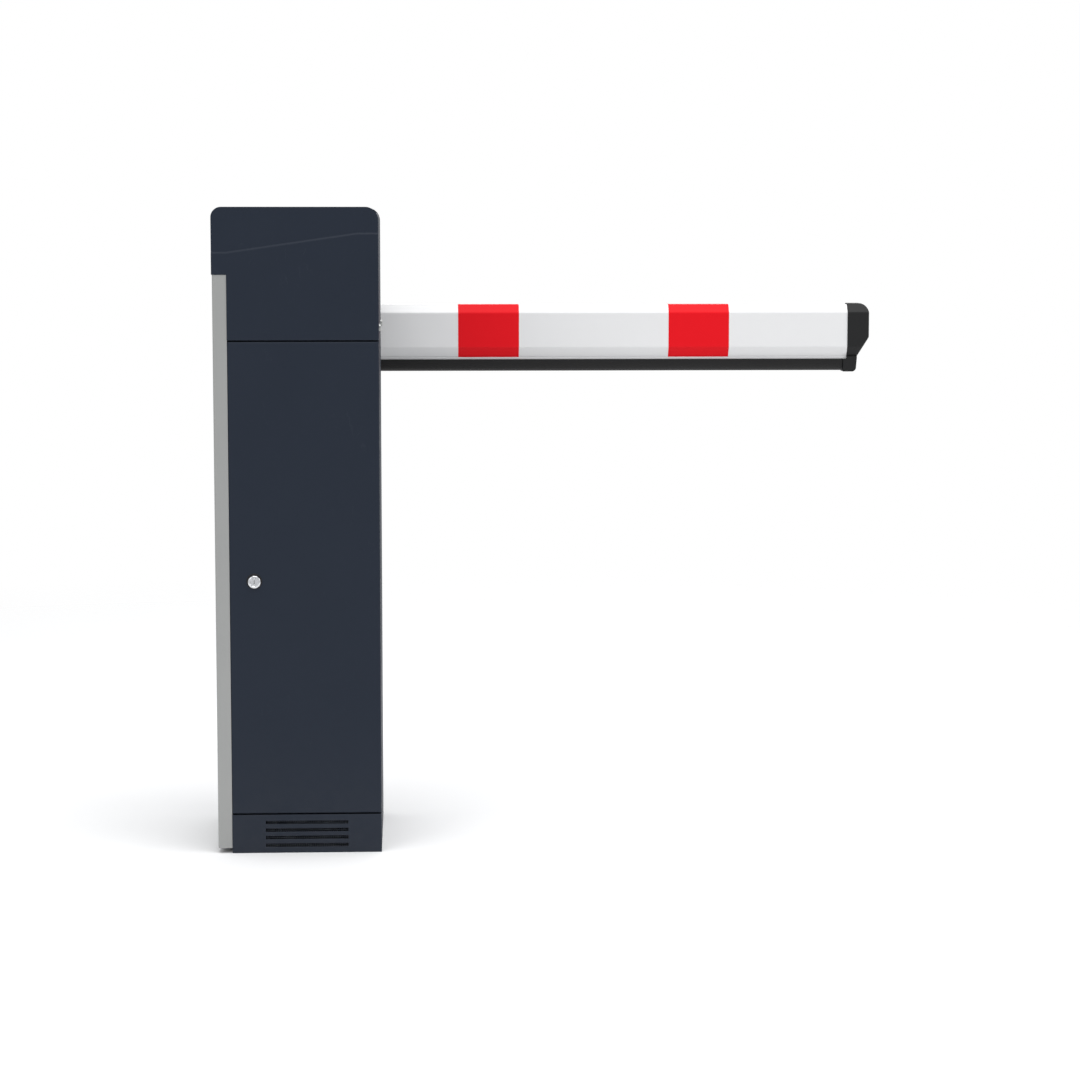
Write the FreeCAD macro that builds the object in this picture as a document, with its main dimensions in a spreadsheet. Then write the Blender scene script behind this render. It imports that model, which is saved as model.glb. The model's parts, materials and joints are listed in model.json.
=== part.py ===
import FreeCAD, Part
import math
import os
import re
import Sketcher
from FreeCAD import Placement, Rotation, Vector

# Parking barrier gate: a sheet steel cabinet with a hood, a hinged door and a trim strip holds a
# worm gear drive, a parallel crank linkage and a balance spring; the boom hangs on its rear side.
# Millimetres. Origin: centre of the four anchor holes, on the floor. +X runs along the lowered
# boom, +Z is up, the door faces -Y and the boom turns on the +Y side.

# ---------------------------------------------------------------- driving dimensions
SIZES = {
    # cabinet
    "body_wide": 232, "body_deep": 300, "hood_tall": 203, "seam_level": 797, "sheet_wall": 2,
    "seam_gap": 2, "rear_seam_gap": 1, "plinth_top": 60, "sill_thick": 2, "touch_gap": 0.3,
    "running_gap": 0.06, "fixed_gap": 0.03,
    # base plate
    "base_thick": 8, "anchor_span_x": 170, "anchor_span_y": 220, "anchor_hole": 7,
    "cable_wide": 100, "cable_deep": 80, "cable_shift": -20, "grommet_lip": 5, "grommet_rise": 4,
    # grille in the plinth
    "slot_wide": 128, "slot_tall": 5.5, "slot_pitch": 12,
    # door and its frame
    "door_skin": 1.5, "door_depth": 18, "frame_set": 21.5, "frame_open": 182, "frame_lip": 2,
    "frame_border": 16, "lip_reach": 15.5, "seal_wide": 6, "door_round": 3,
    # hinges
    "hinge_inset": 7.5, "hinge_back": 7, "knuckle": 4.5, "hinge_pin": 2.5, "hinge_tall": 60,
    "hinge_low": 150, "hinge_pitch": 280, "leaf_thick": 2.5, "leaf_foot": 14, "flag_set": 0.5,
    "flag_back": 2,
    # lock
    "lock_left": 78, "lock_level": 425, "lock_rim": 10.25, "lock_proud": 3, "lock_sleeve_r": 8,
    "lock_core": 6, "cam_thick": 3, "cam_reach": 22, "cam_half": 5, "cam_ring": 2,
    "lock_nut": 9.6, "lock_nut_tall": 4, "key_half": 0.6, "key_reach": 3.5, "key_deep": 8,
    # trim strip on the narrow side
    "trim_deep": 22, "trim_foot": 8, "trim_over": 100, "trim_skin": 2, "trim_inset": 1,
    "trim_lip": 14, "trim_round": 3.5,
    # hood
    "hood_wall": 3.5, "hood_over": 1, "hood_round_left": 16, "hood_round_right": 20,
    "crease_rise_low": 135, "crease_rise_high": 164, "crease_bend": 84, "crease_step": 1.5,
    "shaft_notch": 25, "bracket_thick": 3, "bracket_wide": 24, "bracket_drop": 45,
    "bracket_rise": 34, "bracket_set": 50, "bracket_gap": 2, "hood_screw": 3,
    "hood_screw_head": 5.5, "hood_screw_cap": 3, "hood_screw_rise": 18,
    # bearing plates and their frame
    "plate_thick": 8, "rear_plate_set": 46, "plate_drop": 107, "shoulder_drop": 12,
    "plate_rise": 63, "plate_neck": 80, "flange_deep": 24, "flange_thick": 3, "tie_radius": 8,
    "tie_out": 96, "tie_drop_high": 31, "tie_drop_low": 77, "bolt_radius": 4, "bolt_head": 8,
    "bolt_cap": 5, "bolt_drop_upper": 67, "bolt_drop_lower": 37, "stud_over": 2,
    # main shaft and bearings
    "shaft_radius": 15, "shaft_front": -15, "collar_step": 6, "collar_wide": 7,
    "bearing_radius": 36, "bearing_wide": 14, "shaft_clear": 3, "hub_gap": 3,
    # linkage
    "crank_reach": 70, "rod_centres": 260, "lever_thick": 12, "lever_front": 30, "arm_half": 13,
    "lever_hub": 26, "hub_wide": 22, "hub_step": 3, "link_pin": 8, "pin_front": 11, "open_gap": 0.35,
    "rod_front": 13, "rod_thick": 14, "rod_eye": 16, "rod_half": 9, "turnbuckle_half": 12,
    "turnbuckle_tall": 70, "turnbuckle_flat": 20,
    # stops
    "stop_stud": 6, "buffer_radius": 11, "stop_gap": 0.3, "stop_along": 61.4,
    "raised_stop_along": 49.4, "buffer_short": 1,
    # balance spring
    "spring_arm": 60, "spring_set": 22, "spring_radius": 18, "spring_wire": 5, "anchor_level": 291,
    "spring_lift": 44, "spring_drop": 47, "eye_radius": 14, "eye_thick": 10, "stem_radius": 6,
    "plug_radius": 12.6, "plug_tall": 20, "bar_thick": 6, "bar_deep": 30, "bar_flange": 20,
    "nut_radius": 10, "nut_tall": 10, "spring_pin_over": 14, "hook_bite": 2, "thread_over": 4,
    # gearbox
    "gear_module": 2, "wheel_teeth": 40, "wheel_wide": 8, "worm_pitch_r": 12, "worm_y": -40,
    "worm_long": 50, "flank_half": 1.35, "box_wall": 6, "box_left": -52, "box_right": 82,
    "box_half_tall": 57, "box_front": -72, "cover_thick": 6, "output_radius": 15,
    "worm_shaft_r": 8, "disc_radius": 40, "disc_thick": 4, "disc_front": 56, "shaft_sunk": 2,
    "shaft_over": 2, "boss_tall": 3, "boss_inset": 9, "boss_radius": 4, "dome_wide": 6,
    "core_over": 4, "thread_sunk": 0.3,
    # motor and handwheel
    "motor_radius": 38, "motor_tall": 150, "motor_wall": 5, "rotor_radius": 27,
    "rotor_lift": 22, "rotor_tall": 100, "wheel_lift": 18, "wheel_tall": 22, "hand_radius": 35,
    "hand_hub": 14, "hand_rim": 7, "rim_tall": 8, "spoke_half": 4, "spoke_step": 1,
    "air_gap": 2, "shaft_tail": 6, "fin_first": 22, "fin_pitch": 18, "fin_tall": 8,
    "fin_deep": 4, "fin_count": 5,
    # limit sensors
    "sensor_offset": 18, "sensor_tall": 15, "sensor_out": 56, "sensor_in": 33, "sensor_air": 0.8,
    "sensor_over": 8, "sensor_leg": 10,
    # electrical panel
    "panel_y": 44, "panel_thick": 2, "panel_foot": 70, "panel_head": 272, "case_left": -100,
    "case_right": 10, "case_foot": 160, "case_head": 265, "case_deep": 44, "case_wall": 2.5,
    "case_lid": 6, "supply_left": 20, "supply_right": 100, "supply_foot": 168,
    "supply_head": 258, "supply_deep": 40, "rail_foot": 98, "rail_tall": 35, "rail_deep": 8,
    "rail_half": 100, "breaker_left": -80, "breaker_wide": 36, "breaker_foot": 78,
    "breaker_tall": 74, "breaker_deep": 56, "nose_deep": 10, "nose_foot": 96, "nose_tall": 38,
    "toggle_half": 8, "toggle_radius": 7, "toggle_reach": 18, "toggle_thick": 5,
    "pivot_set": 2, "toggle_slot": 7, "toggle_pin": 1.5, "pin_over": 3,
    # boom carrier
    "hub_radius": 32, "hub_long": 20, "hub_flange": 10, "carrier_left": -90, "carrier_right": 108,
    "flange_inset_left": 5, "flange_inset_right": 3,
    "saddle_thick": 4, "saddle_fit": 0.3, "saddle_lip": 24, "clamp_thick": 6, "clamp_margin": 10,
    "clamp_set": 15,
    "boom_bolt": 6, "boom_bolt_left": -60, "boom_bolt_right": 80, "boom_bolt_rise": 22,
    "boom_bolt_head": 10, "boom_bolt_cap": 8,
    # boom
    "boom_tall": 86, "boom_deep": 45, "boom_wall": 2.5, "boom_lip_tall": 4, "boom_lip_half": 11,
    "boom_cut_top": 13, "boom_cut_side": 11, "boom_cut_foot": 16, "boom_round": 5,
    "boom_start": -90, "boom_end": 887, "cap_proud": 1.8, "cap_long": 35.5, "cap_plug": 20,
    "cap_slope_high": 10, "cap_slope_low": 18, "cap_heel": 20, "cap_round_top": 16,
    "cap_round_foot": 7,
    "inner_cap": 3, "rubber_start": 112, "rubber_tall": 19.5, "rubber_half": 14,
    "rubber_bore": 4, "rubber_end": 881, "band_skin": 0.4, "band_first": 243,
    "band_second": 590, "band_long": 100,
}

# Sizes that follow from others: heights hang from the seam, depths from the rear wall.
DERIVED = {
    "hood_top": "seam_level + hood_tall",
    "trim_top": "seam_level + trim_over",
    "crease_low": "seam_level + crease_rise_low",
    "crease_high": "seam_level + crease_rise_high",
    "output_level": "seam_level - rod_centres",
    "plate_pitch": "body_deep / 2 - rear_plate_set",
    "bracket_front": "bracket_set - body_deep / 2",
    "bracket_rear": "plate_pitch + plate_thick + bracket_wide / 2 + bracket_gap",
    "plate_foot": "output_level - plate_drop",
    "plate_shoulder": "seam_level - shoulder_drop",
    "plate_top": "seam_level + plate_rise",
    "tie_high": "seam_level - tie_drop_high",
    "tie_low": "output_level - tie_drop_low",
    "bolt_upper": "seam_level - bolt_drop_upper",
    "bolt_lower": "output_level - bolt_drop_lower",
    "hub_front": "body_deep / 2 + hub_gap",
    "spring_y": "plate_pitch - spring_set",
    "spring_pin_end": "spring_y + spring_pin_over",
    "spring_foot": "anchor_level + spring_lift",
    "spring_head": "seam_level - spring_drop",
    "motor_foot": "output_level - box_half_tall - motor_tall",
    "rotor_low": "motor_foot + rotor_lift",
    "wheel_level": "output_level + box_half_tall + wheel_lift",
}

doc = FreeCAD.newDocument("barrier_gate")
dims = doc.addObject("Spreadsheet::Sheet", "dims")
for row, (alias, size) in enumerate(SIZES.items(), 1):
    dims.set("A%d" % row, alias)
    dims.set("B%d" % row, str(size))
    dims.setAlias("B%d" % row, alias)
doc.recompute()
nodes = {}


# ---------------------------------------------------------------- building blocks
def cell_of(word):
    """Cell of a size name, or the formula behind a derived one."""
    if word[0] in DERIVED:
        return "(" + bind(DERIVED[word[0]]) + ")"
    return "dims." + word[0] if word[0] in SIZES else word[0]


def bind(formula):
    """Point each size name in a formula at its cell."""
    return re.sub(r"[a-z_]{3,}", cell_of, formula)


def value(formula):
    """Work a formula out as a plain number."""
    return float(dims.evalExpression(bind(formula)))


def move(piece, place):
    """Bind the three coordinates of a piece's placement to formulas."""
    for axis, formula in zip("xyz", place):
        piece.setExpression(".Placement.Base." + axis, bind(formula))
    return piece


def box(low, high):
    """Block between two corners, each given as three formulas."""
    block = doc.addObject("Part::Box", "block")
    for side, start, end in zip(("Length", "Width", "Height"), low, high):
        block.setExpression(side, bind("(%s) - (%s)" % (end, start)))
    return move(block, low)


AIM = {"x": Rotation(Vector(0, 1, 0), 90), "y": Rotation(Vector(1, 0, 0), -90), "z": Rotation()}


def cyl(along, start, radius, length):
    """Round bar from a start point along an axis."""
    bar = doc.addObject("Part::Cylinder", "bar")
    bar.Placement = Placement(Vector(), AIM[along])
    bar.setExpression("Radius", bind(radius))
    bar.setExpression("Height", bind(length))
    return move(bar, start)


def hexagon(along, start, radius, length):
    """Hexagonal prism, for nuts and bolt heads."""
    prism = doc.addObject("Part::Prism", "prism")
    prism.Placement = Placement(Vector(), AIM[along])
    prism.Polygon = 6
    prism.setExpression("Circumradius", bind(radius))
    prism.setExpression("Height", bind(length))
    return move(prism, start)


def fuse(*pieces):
    """One solid from several."""
    joined = doc.addObject("Part::MultiFuse", "joined")
    joined.Shapes = list(pieces)
    return joined


def group(*pieces):
    """Separate solids kept in one node."""
    bundle = doc.addObject("Part::Compound", "bundle")
    bundle.Links = list(pieces)
    return bundle


def cut(base, *tools):
    """A base less its tools."""
    result = doc.addObject("Part::Cut", "result")
    result.Base = base
    result.Tool = tools[0] if len(tools) == 1 else fuse(*tools)
    return result


def common(base, tool):
    """What two solids share."""
    shared = doc.addObject("Part::Common", "shared")
    shared.Base = base
    shared.Tool = tool
    return shared


def tube(along, start, outer, inner, length):
    """Round bar with a round bore."""
    return cut(cyl(along, start, outer, length), cyl(along, start, inner, length))


def node(label, piece):
    """Name a finished sub-part."""
    piece.Label = label
    nodes[label] = piece
    return piece


NORMAL_SIGN = {"XY_Plane": 1, "YZ_Plane": 1, "XZ_Plane": -1}


def sketch_on(body, plane, outline, low, high):
    """Closed outline on an origin plane, moved to where its pad or pocket starts."""
    sketch = body.newObject("Sketcher::SketchObject", "outline")
    origin = {feature.Role: feature for feature in body.Origin.OriginFeatures}
    sketch.AttachmentSupport = [(origin[plane], "")]
    sketch.MapMode = "FlatFace"
    start = low if NORMAL_SIGN[plane] > 0 else "-(%s)" % high
    sketch.setExpression(".AttachmentOffset.Base.z", bind(start))
    corners = [Vector(value(a), value(b), 0) for a, b in outline]
    count = len(corners)
    for index in range(count):
        sketch.addGeometry(Part.LineSegment(corners[index], corners[(index + 1) % count]))
    for index in range(count):
        sketch.addConstraint(Sketcher.Constraint("Coincident", index, 2, (index + 1) % count, 1))
    for index, corner in enumerate(corners):
        for kind, size, formula in zip(("DistanceX", "DistanceY"), corner, outline[index]):
            rule = sketch.addConstraint(Sketcher.Constraint(kind, -1, 1, index, 1, size))
            sketch.setExpression("Constraints[%d]" % rule, bind(formula))
    return sketch


def pad(plane, outline, low, high):
    """New body: an outline padded between two distances along its plane's axis."""
    body = doc.addObject("PartDesign::Body", "body")
    feature = body.newObject("PartDesign::Pad", "pad")
    feature.Profile = sketch_on(body, plane, outline, low, high)
    feature.setExpression("Length", bind("(%s) - (%s)" % (high, low)))
    body.Tip = feature
    doc.recompute()
    return body


def pocket(body, plane, outline, low, high):
    """Cut an outline out of a body between two distances; it has to remove something."""
    before = body.Shape.Volume
    feature = body.newObject("PartDesign::Pocket", "pocket")
    feature.Profile = sketch_on(body, plane, outline, low, high)
    feature.setExpression("Length", bind("(%s) - (%s)" % (high, low)))
    feature.Reversed = True
    body.Tip = feature
    doc.recompute()
    if body.Shape.Volume >= before:
        raise ValueError("a pocket cut nothing")
    return body


def round_edges(body, radius, chosen):
    """Fillet the edges of a body that a test picks out."""
    base = body.Tip
    names = ["Edge%d" % number for number, edge in enumerate(base.Shape.Edges, 1) if chosen(edge)]
    feature = body.newObject("PartDesign::Fillet", "rounding")
    feature.Base = (base, names)
    feature.setExpression("Radius", bind(radius))
    body.Tip = feature
    doc.recompute()
    return body


def straight(edge, axis):
    """True for an edge that runs along one axis."""
    run = edge.Vertexes[-1].Point - edge.Vertexes[0].Point
    return abs(abs(run[axis]) - edge.Length) < 1e-4 and edge.Length > 1e-4


def middle(edge):
    """The middle of an edge."""
    return edge.CenterOfMass


# ---------------------------------------------------------------- shared places
SIDE = "body_wide / 2"
FRONT = "-(body_deep / 2)"
REAR = "body_deep / 2"
DOOR_BACK = "(door_depth - body_deep / 2)"
FRAME = "(frame_set - body_deep / 2)"
OUTPUT = "output_level"
HINGE_X = "(body_wide / 2 - hinge_inset)"
HINGE_Y = "(hinge_back - body_deep / 2)"
BOOM_BACK = "(hub_front + hub_long + saddle_thick)"
BOOM_FACE = "(%s + boom_deep)" % BOOM_BACK
LIP_REACH = "(%s - lip_reach)" % FRAME


def corners_of(wide_low, wide_high, tall_low, tall_high):
    """Rectangle as an outline."""
    return [(wide_low, tall_low), (wide_high, tall_low), (wide_high, tall_high), (wide_low, tall_high)]


# ---------------------------------------------------------------- base and cabinet shell
base = box(("-(%s - sheet_wall)" % SIDE, "%s + sheet_wall" % FRONT, "0"),
           ("%s - sheet_wall" % SIDE, "%s - sheet_wall" % REAR, "base_thick"))
anchor_holes = [cyl("z", ("%s * anchor_span_x / 2" % i, "%s * anchor_span_y / 2" % j, "-1"),
                    "anchor_hole", "base_thick + 2") for i in (-1, 1) for j in (-1, 1)]
cable_cut = box(("-(cable_wide / 2)", "cable_shift - cable_deep / 2", "-1"),
                ("cable_wide / 2", "cable_shift + cable_deep / 2", "base_thick + 1"))
node("base_plate", cut(base, cable_cut, *anchor_holes))

grommet_outer = box(("-(cable_wide / 2)", "cable_shift - cable_deep / 2", "0"),
                    ("cable_wide / 2", "cable_shift + cable_deep / 2", "base_thick + grommet_rise"))
grommet_flange = box(("-(cable_wide / 2 + grommet_lip)", "cable_shift - cable_deep / 2 - grommet_lip",
                      "base_thick"),
                     ("cable_wide / 2 + grommet_lip", "cable_shift + cable_deep / 2 + grommet_lip",
                      "base_thick + grommet_rise"))
grommet_inner = box(("-(cable_wide / 2 - grommet_lip)", "cable_shift - cable_deep / 2 + grommet_lip",
                     "-1"),
                    ("cable_wide / 2 - grommet_lip", "cable_shift + cable_deep / 2 - grommet_lip",
                     "base_thick + grommet_rise + 1"))
node("cable_grommet", cut(fuse(grommet_outer, grommet_flange), grommet_inner))

walls = box(("-(%s)" % SIDE, "%s + sheet_wall" % FRONT, "0"),
            (SIDE, REAR, "seam_level - rear_seam_gap"))
room = box(("-(%s - sheet_wall)" % SIDE, "%s - 1" % FRONT, "-1"),
           ("%s - sheet_wall" % SIDE, "%s - sheet_wall" % REAR, "seam_level + 1"))
door_step = box(("-(%s + 1)" % SIDE, "%s - 1" % FRONT, "plinth_top"),
                ("%s + 1" % SIDE, FRAME, "seam_level + 1"))
frame_ring = box(("-(%s - sheet_wall)" % SIDE, FRAME, "plinth_top - sill_thick"),
                 ("%s - sheet_wall" % SIDE, "%s + sheet_wall" % FRAME, "seam_level - rear_seam_gap"))
frame_void = box(("-(frame_open / 2)", "%s - 1" % FRAME, "plinth_top + frame_border"),
                 ("frame_open / 2", "%s + sheet_wall + 1" % FRAME, "seam_level - frame_border - 1"))
lip_outer = box(("-(frame_open / 2 + frame_lip)", LIP_REACH, "plinth_top + frame_border - frame_lip"),
                ("frame_open / 2 + frame_lip", FRAME, "seam_level - frame_border - 1 + frame_lip"))
lip_void = box(("-(frame_open / 2)", "%s - 1" % LIP_REACH, "plinth_top + frame_border"),
               ("frame_open / 2", "%s + 1" % FRAME, "seam_level - frame_border - 1"))
sill = box(("-(%s - sheet_wall)" % SIDE, "%s + sheet_wall" % FRONT, "plinth_top - sill_thick"),
           ("%s - sheet_wall" % SIDE, FRAME, "plinth_top"))
shaft_notch = cyl("y", ("0", "%s - sheet_wall - 1" % REAR, "seam_level"), "shaft_notch",
                  "sheet_wall + 2")
node("cabinet_shell", cut(fuse(cut(walls, room, door_step), cut(frame_ring, frame_void),
                               cut(lip_outer, lip_void), sill), shaft_notch))

grille = box(("-(%s)" % SIDE, FRONT, "0"), (SIDE, "%s + sheet_wall" % FRONT, "plinth_top"))
grille_slots = [box(("-(slot_wide / 2)", "%s - 1" % FRONT, "slot_pitch * %d - slot_tall / 2" % k),
                    ("slot_wide / 2", "%s + sheet_wall + 1" % FRONT,
                     "slot_pitch * %d + slot_tall / 2" % k)) for k in (1, 2, 3, 4)]
node("plinth_grille", cut(grille, *grille_slots))

SEAL_BACK = LIP_REACH
SEAL_FACE = "(%s + door_skin + touch_gap)" % FRONT
SEAL_OUT = "(frame_open / 2 + frame_lip / 2 + seal_wide / 2)"
SEAL_IN = "(frame_open / 2 + frame_lip / 2 - seal_wide / 2)"
SEAL_DROP = "(plinth_top + frame_border - frame_lip / 2 - seal_wide / 2)"
SEAL_RISE = "(seam_level - frame_border - 1 + frame_lip / 2 + seal_wide / 2)"
seal = box(("-" + SEAL_OUT, SEAL_FACE, SEAL_DROP), (SEAL_OUT, SEAL_BACK, SEAL_RISE))
seal_void = box(("-" + SEAL_IN, "%s - 1" % SEAL_FACE, "%s + seal_wide" % SEAL_DROP),
                (SEAL_IN, "%s + 1" % SEAL_BACK, "%s - seal_wide" % SEAL_RISE))
node("door_seal", cut(seal, seal_void))

# ---------------------------------------------------------------- trim strip
TRIM_OUT = "-(%s + trim_deep)" % SIDE
TRIM_Y = "(%s - trim_inset)" % REAR
trim = pad("XY_Plane", corners_of(TRIM_OUT, "-(%s)" % SIDE, "-" + TRIM_Y, TRIM_Y),
           "trim_foot", "trim_top")
pocket(trim, "XY_Plane", [(TRIM_OUT + " + trim_skin", "-(%s - trim_skin)" % TRIM_Y),
                          ("-(%s + trim_skin)" % SIDE, "-(%s - trim_skin)" % TRIM_Y),
                          ("-(%s + trim_skin)" % SIDE, "-(%s - trim_lip)" % TRIM_Y),
                          ("-(%s - 1)" % SIDE, "-(%s - trim_lip)" % TRIM_Y),
                          ("-(%s - 1)" % SIDE, "%s - trim_lip" % TRIM_Y),
                          ("-(%s + trim_skin)" % SIDE, "%s - trim_lip" % TRIM_Y),
                          ("-(%s + trim_skin)" % SIDE, "%s - trim_skin" % TRIM_Y),
                          (TRIM_OUT + " + trim_skin", "%s - trim_skin" % TRIM_Y)],
       "trim_foot - 1", "trim_top + 1")
trim_face = value(TRIM_OUT)
round_edges(trim, "trim_round", lambda edge: straight(edge, 2)
            and abs(middle(edge).x - trim_face) < 1e-3)
node("side_trim", trim)

# ---------------------------------------------------------------- hood
HOOD_OUT = "-(%s + trim_deep + hood_over)" % SIDE
hood = pad("XZ_Plane", [("-(%s)" % SIDE, "seam_level"), (SIDE, "seam_level"), (SIDE, "hood_top"),
                        (HOOD_OUT, "hood_top"), (HOOD_OUT, "trim_top"), ("-(%s)" % SIDE, "trim_top")],
           FRONT, REAR)
round_edges(hood, "hood_round_left", lambda edge: straight(edge, 1)
            and middle(edge).z > value("hood_top") - 1 and middle(edge).x < 0)
round_edges(hood, "hood_round_right", lambda edge: straight(edge, 1)
            and middle(edge).z > value("hood_top") - 1 and middle(edge).x > 0)
for face_low, face_high in ((FRONT + " - 1", FRONT + " + crease_step"),
                            (REAR + " - crease_step", REAR + " + 1")):
    pocket(hood, "XZ_Plane", [(HOOD_OUT + " - 1", "crease_low"), ("-(%s)" % SIDE, "crease_low"),
                              ("crease_bend", "crease_high"), (SIDE + " + 1", "crease_high"),
                              (SIDE + " + 1", "hood_top + 1"), (HOOD_OUT + " - 1", "hood_top + 1")],
           face_low, face_high)
inside = box(("-(%s - hood_wall)" % SIDE, FRONT + " + hood_wall", "seam_level - 1"),
             ("%s - hood_wall" % SIDE, REAR + " - hood_wall", "hood_top - hood_wall"))
inside_left = box((HOOD_OUT + " + hood_wall", FRONT + " + hood_wall", "trim_top + hood_wall"),
                  ("-(%s - hood_wall - 1)" % SIDE, REAR + " - hood_wall", "hood_top - hood_wall"))
cavity = fuse(inside, inside_left)
hood_bore = cyl("y", ("0", REAR + " - hood_wall - 1", "seam_level"), "shaft_notch", "hood_wall + 2")
BRACKET_YS = ("bracket_front", "bracket_rear")


def hood_screw_row(radius, start, length):
    """Bars across both side walls at the four hood brackets."""
    bars = []
    for centre in BRACKET_YS:
        level = "seam_level + hood_screw_rise"
        bars.append(cyl("x", ("%s - (%s) - (%s)" % (SIDE, start, length), centre, level), radius, length))
        bars.append(cyl("x", ("-(%s) + (%s)" % (SIDE, start), centre, level), radius, length))
    return bars


core = cut(hood, cavity)
node("hood", cut(core, hood_bore, *hood_screw_row("hood_screw + running_gap", "-1", "hood_wall + 2")))

brackets = []
for side in (-1, 1):
    for centre in BRACKET_YS:
        low_leg = box(("%d * (%s - sheet_wall) - (1 + %d) * bracket_thick / 2" % (side, SIDE, side),
                       centre + " - bracket_wide / 2", "seam_level - bracket_drop"),
                      ("%d * (%s - sheet_wall) + (1 - %d) * bracket_thick / 2" % (side, SIDE, side),
                       centre + " + bracket_wide / 2", "seam_level - rear_seam_gap"))
        high_leg = box(("%d * (%s - hood_wall) - (1 + %d) * bracket_thick / 2" % (side, SIDE, side),
                        centre + " - bracket_wide / 2", "seam_level - rear_seam_gap - bracket_thick"),
                       ("%d * (%s - hood_wall) + (1 - %d) * bracket_thick / 2" % (side, SIDE, side),
                        centre + " + bracket_wide / 2", "seam_level + bracket_rise"))
        brackets.append(fuse(low_leg, high_leg))
bracket_set = group(*brackets)
node("hood_brackets", cut(bracket_set, *hood_screw_row("hood_screw + fixed_gap", "hood_wall - 1",
                                                       "bracket_thick + 2")))
screws = []
for centre in BRACKET_YS:
    level = "seam_level + hood_screw_rise"
    for side in (-1, 1):
        reach = "hood_wall + bracket_thick + 2"
        shank_start = "%s - (%s)" % (SIDE, reach) if side > 0 else "-(%s)" % SIDE
        head_start = SIDE if side > 0 else "-(%s + hood_screw_cap)" % SIDE
        screws.append(fuse(cyl("x", (shank_start, centre, level), "hood_screw", reach),
                           cyl("x", (head_start, centre, level), "hood_screw_head", "hood_screw_cap")))
node("hood_screws", group(*screws))

# ---------------------------------------------------------------- door, hinges and lock
door = pad("XZ_Plane", corners_of("-(%s)" % SIDE, SIDE, "plinth_top + seam_gap", "seam_level - seam_gap"),
           FRONT, DOOR_BACK)
door_front = value(FRONT)
round_edges(door, "door_round", lambda edge: abs(middle(edge).y - door_front) < 1e-3)
pocket(door, "XZ_Plane", corners_of("-(%s - door_skin)" % SIDE, "%s - door_skin" % SIDE,
                                    "plinth_top + seam_gap + door_skin",
                                    "seam_level - seam_gap - door_skin"),
       FRONT + " + door_skin", DOOR_BACK + " + 1")
HINGES = ["hinge_low + %d * hinge_pitch" % k for k in (0, 1, 2)]
hinge_notches = [box(("%s - door_skin - 1" % SIDE, HINGE_Y + " - knuckle", foot + " - 2"),
                     (SIDE + " + 1", DOOR_BACK + " + 1", foot + " + hinge_tall / 2 + 1"))
                 for foot in HINGES]
lock_hole = cyl("y", ("-lock_left", FRONT + " - 1", "lock_level"), "lock_sleeve_r + fixed_gap",
                "door_skin + 2")
node("door_panel", cut(door, lock_hole, *hinge_notches))

frame_leaves = []
door_leaves = []
for foot in HINGES:
    frame_knuckle = cyl("z", (HINGE_X, HINGE_Y, foot), "knuckle", "hinge_tall / 2 - touch_gap")
    frame_strap = box((HINGE_X + " - leaf_thick", HINGE_Y, foot),
                      (HINGE_X, FRAME, foot + " + hinge_tall / 2 - touch_gap"))
    frame_foot = box((HINGE_X + " - leaf_foot", FRAME + " - leaf_thick", foot),
                     (HINGE_X, FRAME, foot + " + hinge_tall / 2 - touch_gap"))
    frame_bore = cyl("z", (HINGE_X, HINGE_Y, foot + " - 1"), "hinge_pin + fixed_gap", "hinge_tall")
    frame_leaves.append(cut(fuse(frame_knuckle, frame_strap, frame_foot), frame_bore))
    upper = foot + " + hinge_tall / 2"
    door_knuckle = cyl("z", (HINGE_X, HINGE_Y, upper), "knuckle", "hinge_tall / 2")
    door_strap = box((HINGE_X, HINGE_Y + " - knuckle", upper),
                     ("%s - door_skin" % SIDE, HINGE_Y + " - knuckle + leaf_thick",
                      foot + " + hinge_tall"))
    door_flag = box(("%s - door_skin - leaf_thick + flag_set" % SIDE, HINGE_Y + " - knuckle", upper),
                    ("%s - door_skin" % SIDE, DOOR_BACK + " - flag_back", foot + " + hinge_tall"))
    door_bore = cyl("z", (HINGE_X, HINGE_Y, foot), "hinge_pin + running_gap", "hinge_tall + 1")
    door_leaves.append(cut(fuse(door_knuckle, door_strap, door_flag), door_bore))
node("hinge_frame_leaves", group(*frame_leaves))
node("hinge_door_leaves", group(*door_leaves))
node("hinge_pins", group(*[cyl("z", (HINGE_X, HINGE_Y, foot), "hinge_pin", "hinge_tall")
                           for foot in HINGES]))

CAM_FRONT = "(%s + sheet_wall + 1)" % FRAME
LOCK = ("-lock_left", "lock_level")
rim = cyl("y", (LOCK[0], FRONT + " - lock_proud", LOCK[1]), "lock_rim", "lock_proud")
sleeve = cyl("y", (LOCK[0], FRONT + " - lock_proud", LOCK[1]), "lock_sleeve_r",
             CAM_FRONT + " - touch_gap - (%s - lock_proud)" % FRONT)
lock_nut = hexagon("y", (LOCK[0], FRONT + " + door_skin", LOCK[1]), "lock_nut",
                   "lock_nut_tall")
lock_bore = cyl("y", (LOCK[0], FRONT + " - lock_proud - 1", LOCK[1]), "lock_core + running_gap",
                "2 * frame_set")
node("lock_sleeve", cut(fuse(rim, sleeve, lock_nut), lock_bore))
barrel = cyl("y", (LOCK[0], FRONT + " - lock_proud", LOCK[1]), "lock_core",
             CAM_FRONT + " + cam_thick - (%s - lock_proud)" % FRONT)
key_slot = box((LOCK[0] + " - key_half", FRONT + " - lock_proud - 1", LOCK[1] + " - key_reach"),
               (LOCK[0] + " + key_half", FRONT + " - lock_proud + key_deep", LOCK[1] + " + key_reach"))
node("lock_barrel", cut(barrel, key_slot))
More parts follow.
